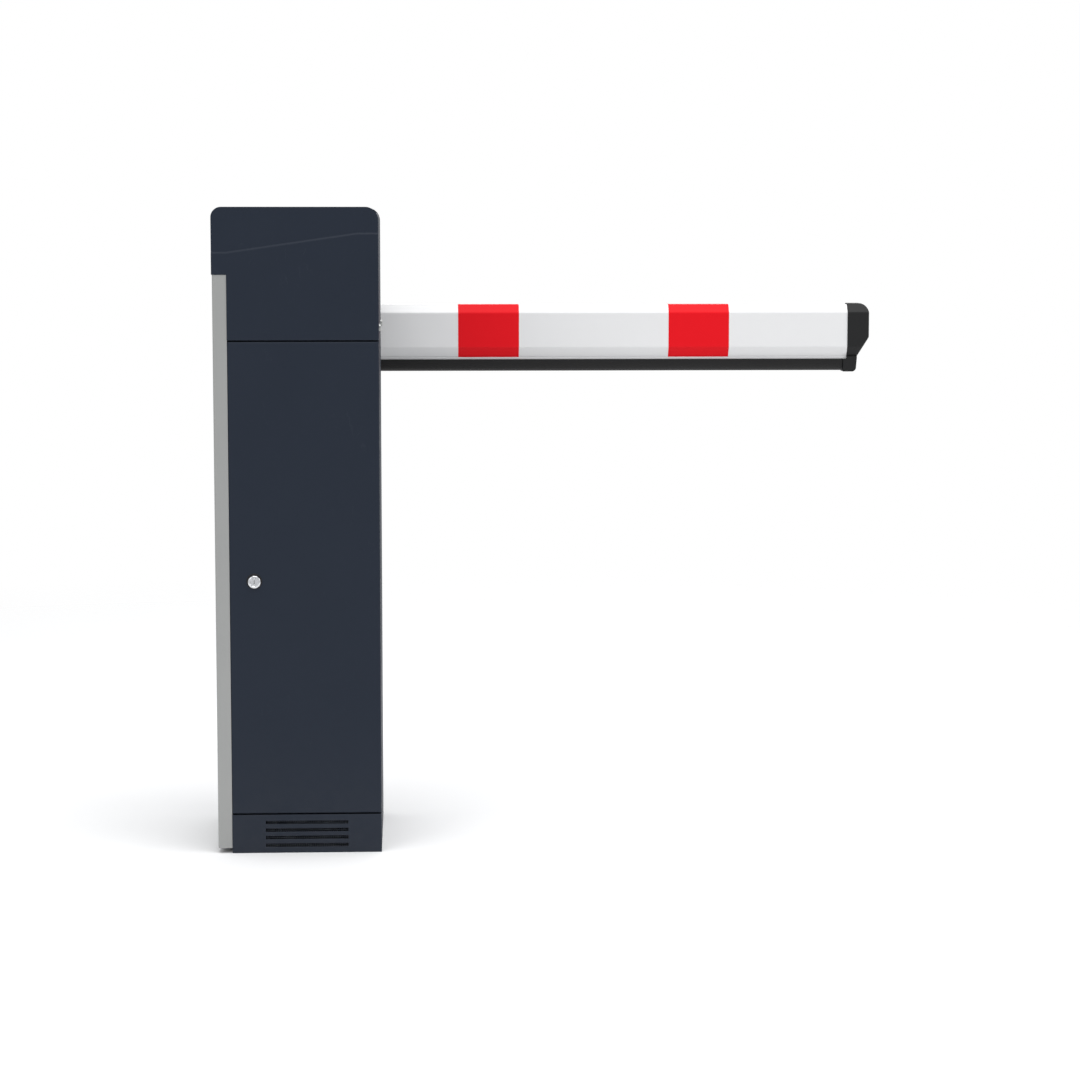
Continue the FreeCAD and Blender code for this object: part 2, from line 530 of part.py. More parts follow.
cam = fuse(box((LOCK[0] + " - cam_half", CAM_FRONT, LOCK[1]),
               (LOCK[0] + " + cam_half", CAM_FRONT + " + cam_thick", LOCK[1] + " + cam_reach")),
           cyl("y", (LOCK[0], CAM_FRONT, LOCK[1]), "lock_core + cam_ring", "cam_thick"))
node("lock_cam", cut(cam, cyl("y", (LOCK[0], CAM_FRONT + " - 1", LOCK[1]), "lock_core + fixed_gap",
                              "cam_thick + 2")))

# ---------------------------------------------------------------- bearing plates
INNER = "(%s - sheet_wall)" % SIDE
BOLT_LEVELS = ("bolt_upper", "bolt_lower")
TIES = [(i, level) for i in (-1, 1) for level in ("tie_high", "tie_low")]


def bearing_plate(low, high, flange_low, flange_high):
    """Steel plate between the side walls with bent flanges, a shaft hole and bolt holes."""
    face = pad("XZ_Plane", [("-" + INNER, "plate_foot"), (INNER, "plate_foot"), (INNER, "plate_shoulder"),
                            ("plate_neck", "plate_top"), ("-plate_neck", "plate_top"),
                            ("-" + INNER, "plate_shoulder")], low, high)
    flanges = []
    holes = []
    for i in (-1, 1):
        flanges.append(box(("%d * %s - (1 + %d) * flange_thick / 2" % (i, INNER, i), flange_low,
                            "plate_foot"),
                           ("%d * %s + (1 - %d) * flange_thick / 2" % (i, INNER, i), flange_high,
                            "plate_shoulder")))
        for bolt_level in BOLT_LEVELS:
            middle_y = "(%s + %s) / 2" % (flange_low, flange_high)
            holes.append(cyl("x", ("%d * %s - 10" % (i, INNER), middle_y, bolt_level),
                             "bolt_radius + fixed_gap", "20"))
    holes.append(cyl("y", ("0", low + " - 1", "seam_level"), "shaft_radius + shaft_clear",
                     "plate_thick + 2"))
    holes.extend(cyl("y", ("%d * tie_out" % i, low + " - 1", level), "bolt_radius + fixed_gap",
                     "plate_thick + 2") for i, level in TIES)
    return face, flanges, holes


front_face, front_flanges, front_holes = bearing_plate("0", "plate_thick", "plate_thick",
                                                       "(plate_thick + flange_deep)")
output_hole = cyl("y", ("0", "-1", OUTPUT), "output_radius + shaft_clear", "plate_thick + 2")
node("front_bearing_plate", cut(fuse(front_face, *front_flanges), output_hole, *front_holes))
rear_face, rear_flanges, rear_holes = bearing_plate("plate_pitch", "plate_pitch + plate_thick",
                                                    "(plate_pitch - flange_deep)", "plate_pitch")
node("rear_bearing_plate", cut(fuse(rear_face, *rear_flanges), *rear_holes))

node("tie_bars", group(*[tube("y", ("%d * tie_out" % i, "plate_thick", level), "tie_radius",
                              "bolt_radius + fixed_gap", "plate_pitch - plate_thick")
                         for i, level in TIES]))
frame_bolts = []
for i, level in TIES:
    place = "%d * tie_out" % i
    frame_bolts.append(fuse(
        hexagon("y", (place, "-bolt_cap", level), "bolt_head", "bolt_cap"),
        cyl("y", (place, "-bolt_cap", level), "bolt_radius", "plate_pitch + plate_thick + 2 * bolt_cap"),
        hexagon("y", (place, "plate_pitch + plate_thick", level), "bolt_head", "bolt_cap")))
for i in (-1, 1):
    for level in BOLT_LEVELS:
        for centre in ("(plate_thick + flange_deep / 2)", "(plate_pitch - flange_deep / 2)"):
            stud_start = "%d * %s - (1 + %d) / 2 * (flange_thick + bolt_cap + stud_over)" % (i, INNER, i)
            nut_start = "%d * (%s - flange_thick) - (1 + %d) / 2 * bolt_cap" % (i, INNER, i)
            frame_bolts.append(fuse(
                cyl("x", (stud_start, centre, level), "bolt_radius", "flange_thick + bolt_cap + stud_over"),
                hexagon("x", (nut_start, centre, level), "bolt_head", "bolt_cap")))
node("frame_bolts", group(*frame_bolts))

# ---------------------------------------------------------------- main shaft, bearings and lever
SHAFT_BORE = "shaft_radius + running_gap"


def flange_bearing(low):
    """Round bearing housing on a plate, bored for the shaft."""
    body = cyl("y", ("0", low, "seam_level"), "bearing_radius", "bearing_wide")
    return cut(body, cyl("y", ("0", low + " - 1", "seam_level"), SHAFT_BORE, "bearing_wide + 2"))


node("front_bearing", flange_bearing("-bearing_wide"))
node("rear_bearing", flange_bearing("plate_pitch + plate_thick"))

collar_start = "shaft_front - collar_wide"
shaft = fuse(cyl("y", ("0", collar_start, "seam_level"), "shaft_radius",
                 "hub_front + hub_long - (%s) - touch_gap" % collar_start),
             cyl("y", ("0", collar_start, "seam_level"), "shaft_radius + collar_step", "collar_wide"))
node("main_shaft", shaft)

ARM_45 = [("(arm_half - crank_reach) * sqrt(0.5)", "(arm_half + crank_reach) * sqrt(0.5)"),
          ("-(arm_half + crank_reach) * sqrt(0.5)", "(crank_reach - arm_half) * sqrt(0.5)"),
          ("-arm_half * sqrt(0.5)", "-arm_half * sqrt(0.5)"),
          ("arm_half * sqrt(0.5)", "arm_half * sqrt(0.5)")]
LEVER_END = "lever_front + lever_thick"
PIN_X = "(-crank_reach * sqrt(0.5))"
PIN_RISE = "crank_reach * sqrt(0.5)"


def link_arm(level, shaft_size):
    """Lever arm at 45 degrees up to the left with a round end and a hub, on a shaft at a level."""
    arm = pad("XZ_Plane", [(a, level + " + " + b) for a, b in ARM_45], "lever_front", LEVER_END)
    end = cyl("y", (PIN_X, "lever_front", level + " + " + PIN_RISE), "arm_half", "lever_thick")
    hub = cyl("y", ("0", "lever_front - hub_step", level), "lever_hub", "hub_wide")
    bore = cyl("y", ("0", "lever_front - 2 * hub_step", level), shaft_size + " + fixed_gap",
               "hub_wide + 2 * hub_step")
    pin_hole = cyl("y", (PIN_X, "lever_front - 1", level + " + " + PIN_RISE), "link_pin + fixed_gap",
                   "lever_thick + 2")
    return [arm, end, hub], [bore, pin_hole]


solids, holes = link_arm("seam_level", "shaft_radius")
spring_bar = box(("-spring_arm", "lever_front", "seam_level - arm_half"),
                 ("0", LEVER_END, "seam_level + arm_half"))
spring_end = cyl("y", ("-spring_arm", "lever_front", "seam_level"), "arm_half", "lever_thick")
spring_hole = cyl("y", ("-spring_arm", "lever_front - 1", "seam_level"), "link_pin + fixed_gap",
                  "lever_thick + 2")
node("rocker_lever", cut(fuse(spring_bar, spring_end, *solids), spring_hole, *holes))
rod_pin = cyl("y", (PIN_X, "pin_front", "seam_level + " + PIN_RISE), "link_pin",
              LEVER_END + " - pin_front")
spring_pin = cyl("y", ("-spring_arm", "lever_front", "seam_level"), "link_pin",
                 "spring_pin_end - lever_front")
node("rocker_pins", group(rod_pin, spring_pin))

# ---------------------------------------------------------------- output shaft, crank and rod
output_front = "(box_front - cover_thick + shaft_sunk)"
node("output_shaft", cyl("y", ("0", output_front, OUTPUT), "output_radius",
                         "disc_front + disc_thick + shaft_over - " + output_front))
solids, holes = link_arm(OUTPUT, "output_radius")
crank_pin = cyl("y", (PIN_X, "pin_front", OUTPUT + " + " + PIN_RISE), "link_pin",
                LEVER_END + " - pin_front")
node("crank_arm", cut(fuse(*solids), *holes))
node("crank_pin", crank_pin)
disc = tube("y", ("0", "disc_front", OUTPUT), "disc_radius", "output_radius + fixed_gap", "disc_thick")
disc_notch = cyl("y", ("-disc_radius", "disc_front - 1", OUTPUT), "disc_radius / 4", "disc_thick + 2")
node("limit_disc", cut(disc, disc_notch))

ROD_LOW = OUTPUT + " + " + PIN_RISE
ROD_HIGH = "seam_level + " + PIN_RISE
rod_body = box((PIN_X + " - rod_half", "rod_front", ROD_LOW),
               (PIN_X + " + rod_half", "rod_front + rod_thick", ROD_HIGH))
turnbuckle = cyl("z", (PIN_X, "rod_front + rod_thick / 2", OUTPUT + " + rod_centres / 2"),
                 "turnbuckle_half", "turnbuckle_tall")
turnbuckle_cut = box((PIN_X + " - turnbuckle_flat", "rod_front - turnbuckle_flat",
                      OUTPUT + " + rod_centres / 2 - 1"),
                     (PIN_X + " + turnbuckle_flat", "rod_front",
                       OUTPUT + " + rod_centres / 2 + turnbuckle_tall + 1"))
turnbuckle_back = box((PIN_X + " - turnbuckle_flat", "rod_front + rod_thick",
                       OUTPUT + " + rod_centres / 2 - 1"),
                      (PIN_X + " + turnbuckle_flat", "rod_front + rod_thick + turnbuckle_flat",
                       OUTPUT + " + rod_centres / 2 + turnbuckle_tall + 1"))
rod_eyes = [cyl("y", (PIN_X, "rod_front", level), "rod_eye", "rod_thick") for level in (ROD_LOW, ROD_HIGH)]
rod_bores = [cyl("y", (PIN_X, "rod_front - 1", ROD_LOW), "link_pin + running_gap", "rod_thick + 2"),
             cyl("y", (PIN_X, "rod_front - 1", ROD_HIGH), "link_pin + open_gap", "rod_thick + 2")]
node("connecting_rod", cut(fuse(rod_body, cut(turnbuckle, turnbuckle_cut, turnbuckle_back), *rod_eyes),
                           *rod_bores))

# ---------------------------------------------------------------- stops
STOP_OFF = "(arm_half + buffer_radius + stop_gap)"
STOPS = [("(%s - stop_along) * sqrt(0.5)" % STOP_OFF,
          "seam_level + (%s + stop_along) * sqrt(0.5)" % STOP_OFF),
         (STOP_OFF, "seam_level - raised_stop_along")]
node("stop_studs", group(*[cyl("y", (x, "plate_thick", z), "stop_stud",
                               LEVER_END + " + stud_over - plate_thick")
                           for x, z in STOPS]))
node("stop_buffers", group(*[tube("y", (x, "lever_front", z), "buffer_radius", "stop_stud + fixed_gap",
                                  "lever_thick - buffer_short") for x, z in STOPS]))

# ---------------------------------------------------------------- balance spring
SPRING_X = "-spring_arm"
node("balance_spring", tube("z", (SPRING_X, "spring_y", "spring_foot"), "spring_radius",
                            "spring_radius - spring_wire", "spring_head - spring_foot"))
hook_eye = cyl("y", (SPRING_X, "spring_y - eye_thick / 2", "seam_level"), "eye_radius", "eye_thick")
hook_stem = cyl("z", (SPRING_X, "spring_y", "spring_head"), "stem_radius",
                "seam_level - link_pin - hook_bite - spring_head")
hook_plug = cyl("z", (SPRING_X, "spring_y", "spring_head - plug_tall"), "plug_radius", "plug_tall")
hook_bore = cyl("y", (SPRING_X, "spring_y - eye_thick", "seam_level"), "link_pin + running_gap",
                "2 * eye_thick")
node("spring_hook", cut(fuse(hook_eye, hook_stem, hook_plug), hook_bore))
eyebolt = fuse(cyl("z", (SPRING_X, "spring_y", "anchor_level - bar_thick - nut_tall - thread_over"),
                   "stem_radius",
                   "spring_foot - anchor_level + bar_thick + nut_tall + thread_over"),
               cyl("z", (SPRING_X, "spring_y", "spring_foot"), "plug_radius", "plug_tall"),
               hexagon("z", (SPRING_X, "spring_y", "anchor_level - bar_thick - nut_tall"), "nut_radius",
                       "nut_tall"),
               hexagon("z", (SPRING_X, "spring_y", "anchor_level"), "nut_radius", "nut_tall"))
node("spring_eyebolt", eyebolt)
anchor = box(("-" + INNER, "spring_y - bar_deep / 2", "anchor_level - bar_thick"),
             (INNER, "spring_y + bar_deep / 2", "anchor_level"))
anchor_flanges = [box(("%d * %s - (1 + %d) * flange_thick / 2" % (i, INNER, i), "spring_y - bar_deep / 2",
                       "anchor_level - bar_flange"),
                      ("%d * %s + (1 - %d) * flange_thick / 2" % (i, INNER, i), "spring_y + bar_deep / 2",
                       "anchor_level")) for i in (-1, 1)]
anchor_hole = cyl("z", (SPRING_X, "spring_y", "anchor_level - bar_thick - 1"),
                  "stem_radius + fixed_gap", "bar_thick + 2")
node("spring_anchor_bar", cut(fuse(anchor, *anchor_flanges), anchor_hole))

# ---------------------------------------------------------------- worm gearbox
WORM_X = "(gear_module * wheel_teeth / 2 + worm_pitch_r)"
BOX_LOW = OUTPUT + " - box_half_tall"
BOX_HIGH = OUTPUT + " + box_half_tall"
housing = box(("box_left", "box_front", BOX_LOW), ("box_right", "0", BOX_HIGH))
housing_void = box(("box_left + box_wall", "box_front - 1", BOX_LOW + " + box_wall"),
                   ("box_right - box_wall", "-box_wall", BOX_HIGH + " - box_wall"))
output_bore = cyl("y", ("0", "box_front - 1", OUTPUT), "output_radius + running_gap",
                  "2 - box_front")
worm_bore = cyl("z", (WORM_X, "worm_y", BOX_LOW + " - 1"), "worm_shaft_r + running_gap",
                "2 * box_half_tall + 2")
node("gearbox_housing", cut(housing, housing_void, output_bore, worm_bore))
cover = box(("box_left", "box_front - cover_thick", BOX_LOW), ("box_right", "box_front", BOX_HIGH))
cover_bore = cyl("y", ("0", "box_front - cover_thick + shaft_sunk - touch_gap", OUTPUT),
                 "output_radius + running_gap", "cover_thick")
cover_bosses = [cyl("y", (x, "box_front - cover_thick - boss_tall",
                          OUTPUT + " + %d * (box_half_tall - boss_inset)" % j), "boss_radius", "boss_tall")
                for x in ("box_left + boss_inset", "box_right - boss_inset") for j in (-1, 1)]
cover_dome = cyl("y", ("0", "box_front - cover_thick - boss_tall", OUTPUT), "output_radius + dome_wide",
                 "boss_tall + 1")
node("gearbox_cover", cut(fuse(cover, cover_dome, *cover_bosses), cover_bore))


PRESSURE_ANGLE = math.radians(20)
ROOT_DEPTH = 1.2
WORM_ROOT_DEPTH = 1.3


def wheel_shape():
    """Worm wheel: straight flanked teeth round a bored disc, one tooth pointing at the worm."""
    module = value("gear_module")
    teeth = int(value("wheel_teeth"))
    pitch = module * teeth / 2
    slope = math.tan(PRESSURE_ANGLE)
    half = value("flank_half")
    outline = []
    for tooth in range(teeth):
        turn = 2 * math.pi * tooth / teeth
        for reach, side in ((pitch - ROOT_DEPTH * module, -1), (pitch + module, -1),
                            (pitch + module, 1), (pitch - ROOT_DEPTH * module, 1)):
            across = side * (half - (reach - pitch) * slope)
            outline.append(Vector(reach * math.cos(turn) - across * math.sin(turn), 0,
                                  reach * math.sin(turn) + across * math.cos(turn)))
    wide = value("wheel_wide")
    blank = Part.Face(Part.makePolygon(outline + outline[:1])).extrude(Vector(0, wide, 0))
    bore = Part.makeCylinder(value("output_radius + fixed_gap"), 3 * wide, Vector(0, -wide, 0),
                             Vector(0, 1, 0))
    return blank.cut(bore)


def worm_shape():
    """Right-handed single start worm on its shaft, from the rotor to the hand wheel."""
    module = value("gear_module")
    lead = math.pi * module
    pitch = value("worm_pitch_r")
    slope = math.tan(PRESSURE_ANGLE)
    half = value("flank_half")
    root = pitch - WORM_ROOT_DEPTH * module
    sunk = root - value("thread_sunk")
    tip = pitch + module
    turns = int(value("worm_long") / lead)
    start = -lead * (turns // 2)
    helix = Part.makeHelix(lead, turns * lead, sunk)
    helix.translate(Vector(0, 0, start))
    profile = [Vector(sunk, 0, start - half - (pitch - sunk) * slope),
               Vector(tip, 0, start - half + module * slope),
               Vector(tip, 0, start + half - module * slope),
               Vector(sunk, 0, start + half + (pitch - sunk) * slope)]
    thread = Part.Wire(helix.Edges).makePipeShell([Part.makePolygon(profile + profile[:1])], True, True)
    over = value("core_over")
    core = Part.makeCylinder(root, turns * lead + 2 * over, Vector(0, 0, start - over))
    low = value("rotor_low - shaft_tail - " + OUTPUT)
    high = value("wheel_level + wheel_tall - " + OUTPUT)
    shaft_bar = Part.makeCylinder(value("worm_shaft_r"), high - low, Vector(0, 0, low))
    return core.fuse([thread, shaft_bar])


wheel = doc.addObject("Part::Feature", "wheel")
wheel.Shape = wheel_shape()
node("worm_wheel", move(wheel, ("0", "worm_y - wheel_wide / 2", OUTPUT)))
worm = doc.addObject("Part::Feature", "worm")
worm.Shape = worm_shape()
node("worm_shaft", move(worm, (WORM_X, "worm_y", OUTPUT)))

# ---------------------------------------------------------------- motor and hand wheel
MOTOR_TOP = BOX_LOW
stator = cyl("z", (WORM_X, "worm_y", "motor_foot"), "motor_radius", MOTOR_TOP + " - motor_foot")
stator_void = cyl("z", (WORM_X, "worm_y", "motor_foot + motor_wall"), "rotor_radius + air_gap",
                  MOTOR_TOP + " - motor_foot - 2 * motor_wall")
stator_bore = cyl("z", (WORM_X, "worm_y", "motor_foot + motor_wall"), "worm_shaft_r + running_gap",
                  MOTOR_TOP + " - motor_foot")
fins = [tube("z", (WORM_X, "worm_y", "motor_foot + fin_first + %d * fin_pitch" % k), "motor_radius + 1",
             "motor_radius - fin_deep", "fin_tall") for k in range(int(value("fin_count")))]
node("motor_housing", cut(stator, stator_void, stator_bore, *fins))
rotor = tube("z", (WORM_X, "worm_y", "rotor_low"), "rotor_radius", "worm_shaft_r + fixed_gap", "rotor_tall")
node("motor_rotor", rotor)
rim_ring = tube("z", (WORM_X, "worm_y", "wheel_level"), "hand_radius", "hand_radius - hand_rim",
                "rim_tall")
hand_hub = cyl("z", (WORM_X, "worm_y", "wheel_level"), "hand_hub", "wheel_tall")
spokes = [box((WORM_X + " - %s" % a, "worm_y - %s" % b, "wheel_level + spoke_step"),
              (WORM_X + " + %s" % a, "worm_y + %s" % b, "wheel_level + rim_tall - spoke_step"))
          for a, b in (("(hand_radius - hand_rim + 1)", "spoke_half"),
                       ("spoke_half", "(hand_radius - hand_rim + 1)"))]
hand_bore = cyl("z", (WORM_X, "worm_y", "wheel_level - 1"), "worm_shaft_r + fixed_gap", "wheel_tall + 2")
node("hand_wheel", cut(fuse(rim_ring, hand_hub, *spokes), hand_bore))

# ---------------------------------------------------------------- limit sensors
sensors = []
for j in (-1, 1):
    centre = OUTPUT + " + %d * sensor_offset" % j
    head = box(("sensor_in", "disc_front - sensor_over", centre + " - sensor_tall / 2"),
               ("sensor_out", "disc_front + disc_thick + sensor_over", centre + " + sensor_tall / 2"))
    leg = box(("sensor_out - sensor_leg", "plate_thick", centre + " - sensor_tall / 2"),
              ("sensor_out", "disc_front", centre + " + sensor_tall / 2"))
    air = box(("sensor_in - 1", "disc_front - sensor_air", centre + " - sensor_tall"),
              ("disc_radius + sensor_air", "disc_front + disc_thick + sensor_air",
               centre + " + sensor_tall"))
    sensors.append(cut(fuse(head, leg), air))
node("limit_sensors", group(*sensors))

# ---------------------------------------------------------------- electrical panel
node("equipment_panel", box(("-" + INNER, "panel_y", "panel_foot"),
                            (INNER, "panel_y + panel_thick", "panel_head")))
case_box = box(("case_left", "panel_y - case_deep", "case_foot"), ("case_right", "panel_y", "case_head"))
case_void = box(("case_left + case_wall", "panel_y - case_deep - 1", "case_foot + case_wall"),
                ("case_right - case_wall", "panel_y - case_wall", "case_head - case_wall"))
node("controller_case", cut(case_box, case_void))
node("controller_lid", box(("case_left", "panel_y - case_deep - case_lid", "case_foot"),
                           ("case_right", "panel_y - case_deep", "case_head")))
node("power_supply", box(("supply_left", "panel_y - supply_deep", "supply_foot"),
                         ("supply_right", "panel_y", "supply_head")))
node("din_rail", box(("-rail_half", "panel_y - rail_deep", "rail_foot"),
                     ("rail_half", "panel_y", "rail_foot + rail_tall")))
RAIL_FACE = "(panel_y - rail_deep)"
BREAKER_RIGHT = "(breaker_left + breaker_wide)"
NOSE = "(%s - breaker_deep)" % RAIL_FACE
PIVOT_Z = "(nose_foot + nose_tall / 2)"
PIVOT_X = "(breaker_left + breaker_wide / 2)"
PIVOT_Y = "(%s + pivot_set)" % NOSE
breaker = fuse(box(("breaker_left", NOSE, "breaker_foot"),
                   (BREAKER_RIGHT, RAIL_FACE, "breaker_foot + breaker_tall")),
               box(("breaker_left", NOSE + " - nose_deep", "nose_foot"),
                   (BREAKER_RIGHT, NOSE + " + 1", "nose_foot + nose_tall")))
toggle_room = box((PIVOT_X + " - toggle_half - touch_gap", NOSE + " - nose_deep - 1",
                   PIVOT_Z + " - toggle_radius - toggle_slot"),
                  (PIVOT_X + " + toggle_half + touch_gap", PIVOT_Y + " + toggle_radius + touch_gap",
                   PIVOT_Z + " + toggle_radius + toggle_slot"))
node("circuit_breaker", cut(breaker, toggle_room,
                            cyl("x", (PIVOT_X + " - toggle_half - pin_over - 1", PIVOT_Y, PIVOT_Z),
                                "toggle_pin + fixed_gap", "2 * (toggle_half + pin_over + 1)")))
toggle_lever = box((PIVOT_X + " - toggle_half", PIVOT_Y + " - toggle_reach",
                    PIVOT_Z + " - toggle_thick / 2"),
                   (PIVOT_X + " + toggle_half", PIVOT_Y, PIVOT_Z + " + toggle_thick / 2"))
toggle = fuse(toggle_lever,
              cyl("x", (PIVOT_X + " - toggle_half", PIVOT_Y, PIVOT_Z), "toggle_radius", "2 * toggle_half"),
              cyl("x", (PIVOT_X + " - toggle_half - pin_over", PIVOT_Y, PIVOT_Z), "toggle_pin - fixed_gap",
                  "2 * (toggle_half + pin_over)"))
node("breaker_toggle", toggle)

# ---------------------------------------------------------------- boom carrier
HUB_BACK = "(hub_front + hub_long)"
CENTRE = "seam_level"
BOOM_TOP = "(seam_level + boom_tall / 2 + boom_lip_tall / 2)"
BOOM_FOOT = "(seam_level - boom_tall / 2 + boom_lip_tall / 2)"
LIP_FOOT = "(%s - boom_lip_tall)" % BOOM_FOOT
BOLT_PLACES = [(x, CENTRE + " + %d * boom_bolt_rise" % j) for x in ("boom_bolt_left", "boom_bolt_right")
               for j in (-1, 1)]


def bolt_holes(low, length, gap):
    """Bars through the four boom bolt places."""
    return [cyl("y", (x, low, z), "boom_bolt + " + gap, length) for x, z in BOLT_PLACES]


hub = fuse(cyl("y", ("0", "hub_front", CENTRE), "hub_radius", "hub_long"),
           box(("carrier_left + flange_inset_left", HUB_BACK + " - hub_flange",
                BOOM_FOOT + " + clamp_margin"),
               ("carrier_right - flange_inset_right", HUB_BACK, BOOM_TOP + " - clamp_margin")))
hub_bore = cyl("y", ("0", "hub_front - 1", CENTRE), "shaft_radius + fixed_gap", "hub_long + 1")
node("boom_hub", cut(hub, hub_bore, *bolt_holes("hub_front", "hub_long + 2", "fixed_gap")))
web = box(("carrier_left", HUB_BACK, LIP_FOOT + " - saddle_fit - saddle_thick"),
          ("carrier_right", HUB_BACK + " + saddle_thick", BOOM_TOP + " + saddle_fit + saddle_thick"))
lips = [box(("carrier_left", HUB_BACK, low), ("carrier_right", HUB_BACK + " + saddle_lip", high))
        for low, high in ((BOOM_TOP + " + saddle_fit", BOOM_TOP + " + saddle_fit + saddle_thick"),
                          (LIP_FOOT + " - saddle_fit - saddle_thick", LIP_FOOT + " - saddle_fit"))]
node("boom_saddle", cut(fuse(web, *lips), *bolt_holes(HUB_BACK + " - 1", "saddle_thick + 2", "fixed_gap")))
clamp = box(("carrier_left + clamp_margin", BOOM_FACE, BOOM_FOOT + " + clamp_set"),
            ("carrier_right - clamp_margin", BOOM_FACE + " + clamp_thick", BOOM_TOP + " - clamp_set"))
node("clamp_plate", cut(clamp, *bolt_holes(BOOM_FACE + " - 1", "clamp_thick + 2", "fixed_gap")))
clamp_bolts = []
for x, z in BOLT_PLACES:
    bolt_front = HUB_BACK + " - hub_flange - boom_bolt_cap"
    clamp_bolts.append(fuse(
        hexagon("y", (x, bolt_front, z), "boom_bolt_head", "boom_bolt_cap"),
        cyl("y", (x, bolt_front, z), "boom_bolt",
            "%s + clamp_thick + boom_bolt_cap - (%s)" % (BOOM_FACE, bolt_front)),
        hexagon("y", (x, BOOM_FACE + " + clamp_thick", z), "boom_bolt_head", "boom_bolt_cap")))
node("clamp_bolts", group(*clamp_bolts))


# ---------------------------------------------------------------- boom
def boom_outline(grow, lip):
    """Section of the boom: a tall octagon with a rubber rail below, grown by an offset."""
    back = "(%s - (%s))" % (BOOM_BACK, grow)
    face = "(%s + (%s))" % (BOOM_FACE, grow)
    top = "(%s + (%s))" % (BOOM_TOP, grow)
    foot = "(%s - (%s))" % (BOOM_FOOT, grow)
    middle_y = "((%s) + boom_deep / 2)" % BOOM_BACK
    upper = "(%s - boom_cut_top)" % BOOM_TOP
    lower = "(%s + boom_cut_foot)" % BOOM_FOOT
    half_top = "(boom_deep / 2 - boom_cut_side)"
    rail = [(middle_y + " + boom_lip_half", foot), (middle_y + " - boom_lip_half", foot)]
    if lip:
        rail = [(middle_y + " + boom_lip_half", foot), (middle_y + " + boom_lip_half", LIP_FOOT),
                (middle_y + " - boom_lip_half", LIP_FOOT), (middle_y + " - boom_lip_half", foot)]
    return [(back, lower), (back, upper), (middle_y + " - " + half_top, top),
            (middle_y + " + " + half_top, top), (face, upper), (face, lower)] + rail


def boom_bar(grow, lip, start, end):
    """Boom section padded along X, its long corners rounded."""
    bar = pad("YZ_Plane", boom_outline(grow, lip), start, end)
    low = value(BOOM_FOOT + " + boom_lip_tall / 2")
    return round_edges(bar, "boom_round", lambda edge: straight(edge, 0) and middle(edge).z > low)


hollow = pad("YZ_Plane", boom_outline("-boom_wall", False), "boom_start - 1", "boom_end + 1")
node("boom_profile", cut(boom_bar("0", True, "boom_start", "boom_end"), hollow,
                         *bolt_holes(BOOM_BACK + " - 1", "boom_deep + 2", "fixed_gap")))
for_bands = boom_bar("0", True, "band_first - 10", "band_second + band_long + 10")
node("reflective_bands", cut(group(boom_bar("band_skin", False, "band_first", "band_first + band_long"),
                                   boom_bar("band_skin", False, "band_second", "band_second + band_long")),
                             for_bands))
node("boom_inner_cap", boom_bar("0", False, "boom_start - inner_cap", "boom_start"))

RUBBER_Y = "(%s + boom_deep / 2)" % BOOM_BACK
rubber_foot = "(%s - rubber_tall)" % LIP_FOOT
rubber_block = box(("rubber_start", RUBBER_Y + " - rubber_half", rubber_foot + " + rubber_half"),
                   ("rubber_end", RUBBER_Y + " + rubber_half", LIP_FOOT))
rubber_round = cyl("x", ("rubber_start", RUBBER_Y, rubber_foot + " + rubber_half"), "rubber_half",
                   "rubber_end - rubber_start")
rubber_bore = cyl("x", ("rubber_start - 1", RUBBER_Y, rubber_foot + " + rubber_half"), "rubber_bore",
                  "rubber_end - rubber_start + 2")
rubber_room = box(("rubber_start", RUBBER_Y + " - rubber_half", rubber_foot),
                  ("rubber_end", RUBBER_Y + " + rubber_half", LIP_FOOT))
node("rubber_strip", cut(common(fuse(rubber_block, rubber_round), rubber_room), rubber_bore))

CAP_END = "boom_end + cap_long"
cap_side = pad("XZ_Plane", [("boom_end", BOOM_TOP + " + cap_proud"),
                            (CAP_END, BOOM_TOP + " + cap_proud"),
                            (CAP_END, BOOM_FOOT + " + 2 * boom_cut_foot"),
                            (CAP_END + " - cap_slope_high", BOOM_FOOT + " + boom_cut_foot"),
                            (CAP_END + " - cap_slope_low", BOOM_FOOT),
                            (CAP_END + " - cap_heel", rubber_foot + " - cap_proud"),
                            ("rubber_end", rubber_foot + " - cap_proud"),
                            ("rubber_end", LIP_FOOT), ("boom_end", LIP_FOOT)],
               BOOM_BACK + " - cap_proud", BOOM_FACE + " + cap_proud")
cap_tip = value(CAP_END)
cap_head = value(BOOM_TOP + " + cap_proud")
round_edges(cap_side, "cap_round_top", lambda edge: straight(edge, 1) and middle(edge).x > cap_tip - 1
            and middle(edge).z > cap_head - 1)
cap_waist = value(BOOM_TOP + " - boom_tall / 2")
cap_heel_x = value(CAP_END + " - cap_heel - 1")
round_edges(cap_side, "cap_round_foot", lambda edge: straight(edge, 1) and middle(edge).x > cap_heel_x
            and middle(edge).z < cap_waist)
cap_section = boom_bar("cap_proud", False, "boom_end - 10", CAP_END + " + 1")
cap_skirt = box(("rubber_end", RUBBER_Y + " - rubber_half - cap_proud", rubber_foot + " - cap_proud"),
                (CAP_END, RUBBER_Y + " + rubber_half + cap_proud", BOOM_FOOT))
plug = pad("YZ_Plane", boom_outline("-boom_wall - fixed_gap", False), "boom_end - cap_plug", "boom_end")
node("boom_end_cap", fuse(common(cap_side, fuse(cap_section, cap_skirt)), plug))

